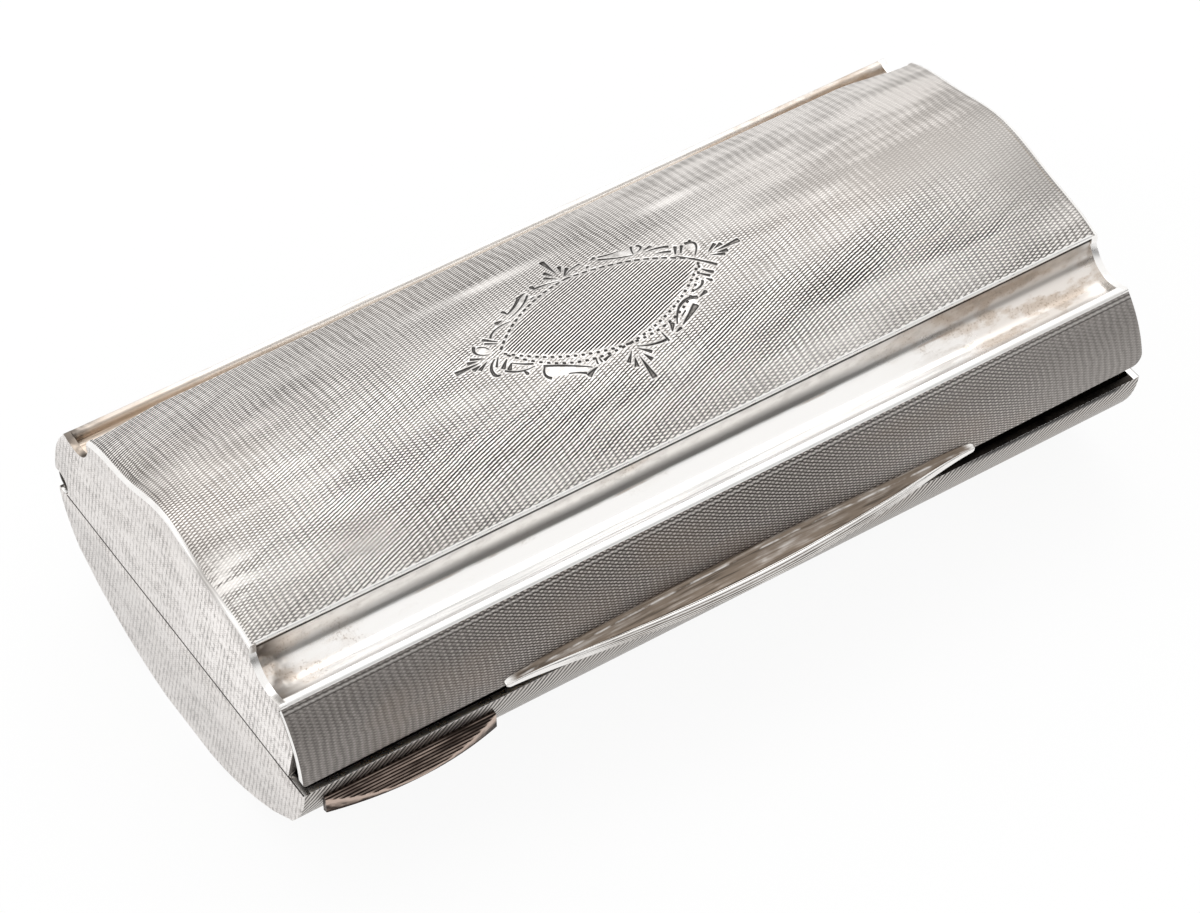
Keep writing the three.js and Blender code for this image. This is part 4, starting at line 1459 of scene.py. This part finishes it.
def drawThumb(height):
    bm, vert = startAt(thumb["back"], 0)
    vert = lineTo(bm, vert, thumb["back"], height)
    vert = lineTo(bm, vert, thumb["root"], height)
    vert = bulgeTo(bm, vert, *thumb["shelf"], thumb["hollow"], thumb["arcSteps"])
    grooves = [vert.co.copy()]
    for y, h in thumb["reeds"]:
        vert = bulgeTo(bm, vert, y, h, -thumb["swell"], thumb["arcSteps"])
        grooves.append(vert.co.copy())
    lineTo(bm, vert, thumb["reeds"][-1][0] - thumb["heel"], 0)
    return bm, grooves


def onShelf(vert):
    return vert.co.y < thumb["shelf"][0] + tiny


def soilThumb(bm, grooves):  # dirt on the hollow top and in the grooves, and how far the reeds stand out
    dirt = bm.verts.layers.float.new("dirt")
    swell = bm.verts.layers.float_vector.new("swell")
    for vert in bm.verts:
        soiled = thumb["soiled"][vert.co.z > thumb["highFrom"]]
        vert[dirt] = max(thumb["shelfDirt"] if onShelf(vert) else 0, grooveDirt(vert, grooves, soiled))
        if not onShelf(vert):
            vert[swell] = min(chordGaps(vert.co, grooves), key=lambda gap: gap.length)


def bendThumb(bm, low, high):  # thins the drawn bar towards its tips, lifts them and puts it in place
    dirt = bm.verts.layers.float["dirt"]
    swell = bm.verts.layers.float_vector["swell"]
    reach = high.y - low.y
    height = high.z - low.z
    middle = (low.x + high.x) / 2
    halfLength = (high.x - low.x) / 2
    reedsEnd, runOut = thumb["reedsEnd"]
    for vert in bm.verts:
        share = vert.co.x
        out = bowTo(share, thumb["tipReach"], reach, thumb["slim"]) / reach
        tall = bowTo(share, thumb["tipHeight"], height, thumb["drop"]) / height
        if onShelf(vert):
            vert[dirt] *= min(1, (1 - abs(share)) / 0.05)
        else:
            vert[dirt] *= min(1, max(0, (out - 0.25) / 0.35))
        vert.co -= vert[swell] * ease((abs(share) - reedsEnd) / runOut)
        fromTip = min(1, (1 - abs(share)) * halfLength / thumb["tipRound"])
        blunt = thumb["blunt"] + (1 - thumb["blunt"]) * math.sqrt(1 - (1 - fromTip) ** 2)
        y = vert.co.y * out * blunt if vert.co.y > 0 else vert.co.y
        h = ((vert.co.z - height / 2) * blunt + height / 2) * tall
        lift = thumb["lift"][share > 0] * ease((abs(share) - thumb["liftFrom"]) / (1 - thumb["liftFrom"]))
        vert.co = (middle + share * halfLength, high.y - y, low.z + h + lift)


def makeThumbpiece():
    low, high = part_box("lid_thumbpiece")
    bm, grooves = drawThumb(high.z - low.z)
    soilThumb(bm, grooves)
    drawOut(bm, -1, 1, thumb["stations"])
    for end in thumb["tipCuts"]:
        cutX = 1 - end * mm / ((high.x - low.x) / 2)
        for sign in (-1, 1):
            bmesh.ops.bisect_plane(bm, geom=allOf(bm), plane_co=(sign * cutX, 0, 0), plane_no=(1, 0, 0))
    bendThumb(bm, low, high)
    bmesh.ops.recalc_face_normals(bm, faces=bm.faces[:])
    finishPiece(bm, "thumbpiece_reeded", "lid", ["lid_thumbpiece"], ["thumb"], 60)


ledge = {
    "tip": 0.3 * mm,
    "reach": 1.9 * mm,
    "fall": 1.0 * mm,
    "rim": 0.25 * mm,
    "root": -0.25 * mm,
    "step": 0.05 * mm,  # flat at the back, before the first reed
    "lower": 0.1 * mm,  # the grooves lie this far under the top, which the reeds reach
    "reeds": 8,
    "swell": 100,
    "arcSteps": 6,
    "stations": 40,
    "cuts": 18,
    "soiled": 0.1 * mm,  # reach of the dirt from a groove
    "soil": (0.55, 0.9),  # on the reeds and underneath
    "underside": 0.12 * mm,
    "cleanRim": 0.07 * mm,
}


def drawLedge(foot):
    bm, vert = startAt(ledge["root"], foot)
    vert = lineTo(bm, vert, ledge["root"], -ledge["lower"])
    vert = lineTo(bm, vert, ledge["step"], -ledge["lower"])
    grooves = [vert.co.copy()]
    for i in range(ledge["reeds"]):
        share = (i + 1) / ledge["reeds"]
        end = (ledge["reach"] * share, -ledge["lower"] - ledge["fall"] * share)
        vert = bulgeTo(bm, vert, *end, -ledge["swell"], ledge["arcSteps"])
        grooves.append(vert.co.copy())
    lineTo(bm, vert, ledge["reach"], -ledge["fall"] - ledge["rim"])
    return bm, grooves


def bowOut(x, low, high):  # share of the half length, and how far out the bowed front stands there
    share = (2 * x - low.x - high.x) / (high.x - low.x)
    return share, bowTo(share, ledge["tip"], ledge["reach"])


def makeLedge():
    low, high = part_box("base_thumb_rest")
    bm, grooves = drawLedge(low.z - high.z)
    dirt = bm.verts.layers.float.new("dirt")
    onReeds, underneath = ledge["soil"]
    for vert in bm.verts:
        vert[dirt] = onReeds + (1 - onReeds) * max(0, grooveDirt(vert, grooves, ledge["soiled"]))
    drawOut(bm, low.x, high.x, ledge["stations"])
    for i in range(ledge["cuts"] + 1):  # bowed front, cut round from tip to tip
        x = low.x + (high.x - low.x) * i / ledge["cuts"]
        share, out = bowOut(x, low, high)
        slope = 4 * share * (ledge["reach"] - ledge["tip"]) / (high.x - low.x)
        cutAway(bm, Vector((x, out, 0)), Vector((slope, 1, 0)))
    for vert in bm.verts:
        surface = -ledge["lower"] - ledge["fall"] * vert.co.y / ledge["reach"]
        inset = bowOut(vert.co.x, low, high)[1] - vert.co.y
        if vert.co.z < surface - ledge["underside"]:
            vert[dirt] = underneath
        else:
            vert[dirt] *= min(1, max(0, inset / ledge["cleanRim"]))
    bmesh.ops.scale(bm, vec=(1, -1, 1), verts=bm.verts)
    bmesh.ops.translate(bm, vec=(0, low.y + ledge["reach"], high.z), verts=bm.verts)
    bmesh.ops.recalc_face_normals(bm, faces=bm.faces[:])
    finishPiece(bm, "ledge_reeded", "base", ["base_thumb_rest"], ["ledge"], 50)


makeThumbpiece()
makeLedge()
print("thumbpiece and ledge made")

# Floor and light

stage = {
    "floor": 3.0,
    "floorColour": (0.92, 0.92, 0.92, 1),
    "floorGlow": 0.9,
    "sky": (1.0, 1.0, 1.0),
    "dark": (0.02, 0.02, 0.02),  # the unlit side that the camera stands on
    "darkTurn": (5.0, 24.0),  # its middle above the front and its half width, in degrees
}
lamps = {
    "overhead": {"place": (0.25, 0.40, 0.80), "size": 0.6, "power": 1.4},
    "left": {"place": (-0.75, 0.15, 0.45), "size": 0.5, "power": 0.6},
}


def seenRays(start):  # rays that show the floor or the backdrop straight or in a reflection
    kinds = ("Is Camera Ray", "Is Glossy Ray", "Is Transmission Ray")
    rays = [start.node("ShaderNodeLightPath", {}, {}, out=kind) for kind in kinds]
    return most(*rays)


def makeFloor():
    bm = bmesh.new()
    bmesh.ops.create_grid(bm, x_segments=1, y_segments=1, size=stage["floor"])
    mesh = bpy.data.meshes.new("floor")
    bm.to_mesh(mesh)
    bm.free()
    floor = bpy.data.objects.new("floor", mesh)
    bpy.context.scene.collection.objects.link(floor)
    material = bpy.data.materials.new("paleFloor")
    material.use_nodes = True
    material.node_tree.nodes.clear()
    start = Wire(material.node_tree)
    paper = start.node("ShaderNodeBsdfDiffuse", {}, {"Color": stage["floorColour"]})
    glow = start.node("ShaderNodeEmission", {}, {"Color": (1, 1, 1, 1), "Strength": 1.0})
    share = seenRays(start) * stage["floorGlow"]
    mixed = start.node("ShaderNodeMixShader", {}, {0: share, 1: paper, 2: glow})
    start.node("ShaderNodeOutputMaterial", {}, {0: mixed})
    mesh.materials.append(material)


def makeWorld():
    world = bpy.data.worlds.new("studio")
    bpy.context.scene.world = world
    world.use_nodes = True
    world.node_tree.nodes.clear()
    start = Wire(world.node_tree)
    way = start.node("ShaderNodeTexCoord", {}, {}, out="Generated")
    x, y, z = [start.node("ShaderNodeSeparateXYZ", {}, {0: way}, out=axis) for axis in range(3)]
    turn = start.work("ARCTAN2", z, y * -1.0) * math.degrees(1)
    sky = blend(band(turn, *stage["darkTurn"]), stage["sky"], stage["dark"])
    plain = start.node("ShaderNodeLightPath", {}, {}, out="Is Camera Ray")
    colour = blend(plain, sky, (1, 1, 1))
    light = start.node("ShaderNodeBackground", {}, {"Color": colour, "Strength": 1.0})
    start.node("ShaderNodeOutputWorld", {}, {0: light})


def addLamp(name, lamp):
    data = bpy.data.lights.new(name, "AREA")
    data.size = lamp["size"]
    data.energy = lamp["power"]
    light = bpy.data.objects.new(name, data)
    bpy.context.scene.collection.objects.link(light)
    light.location = lamp["place"]
    light.rotation_mode = "QUATERNION"
    light.rotation_quaternion = (-Vector(lamp["place"])).to_track_quat("-Z", "Y")


makeFloor()
makeWorld()
for name, lamp in lamps.items():
    addLamp(name, lamp)
print("stage set")
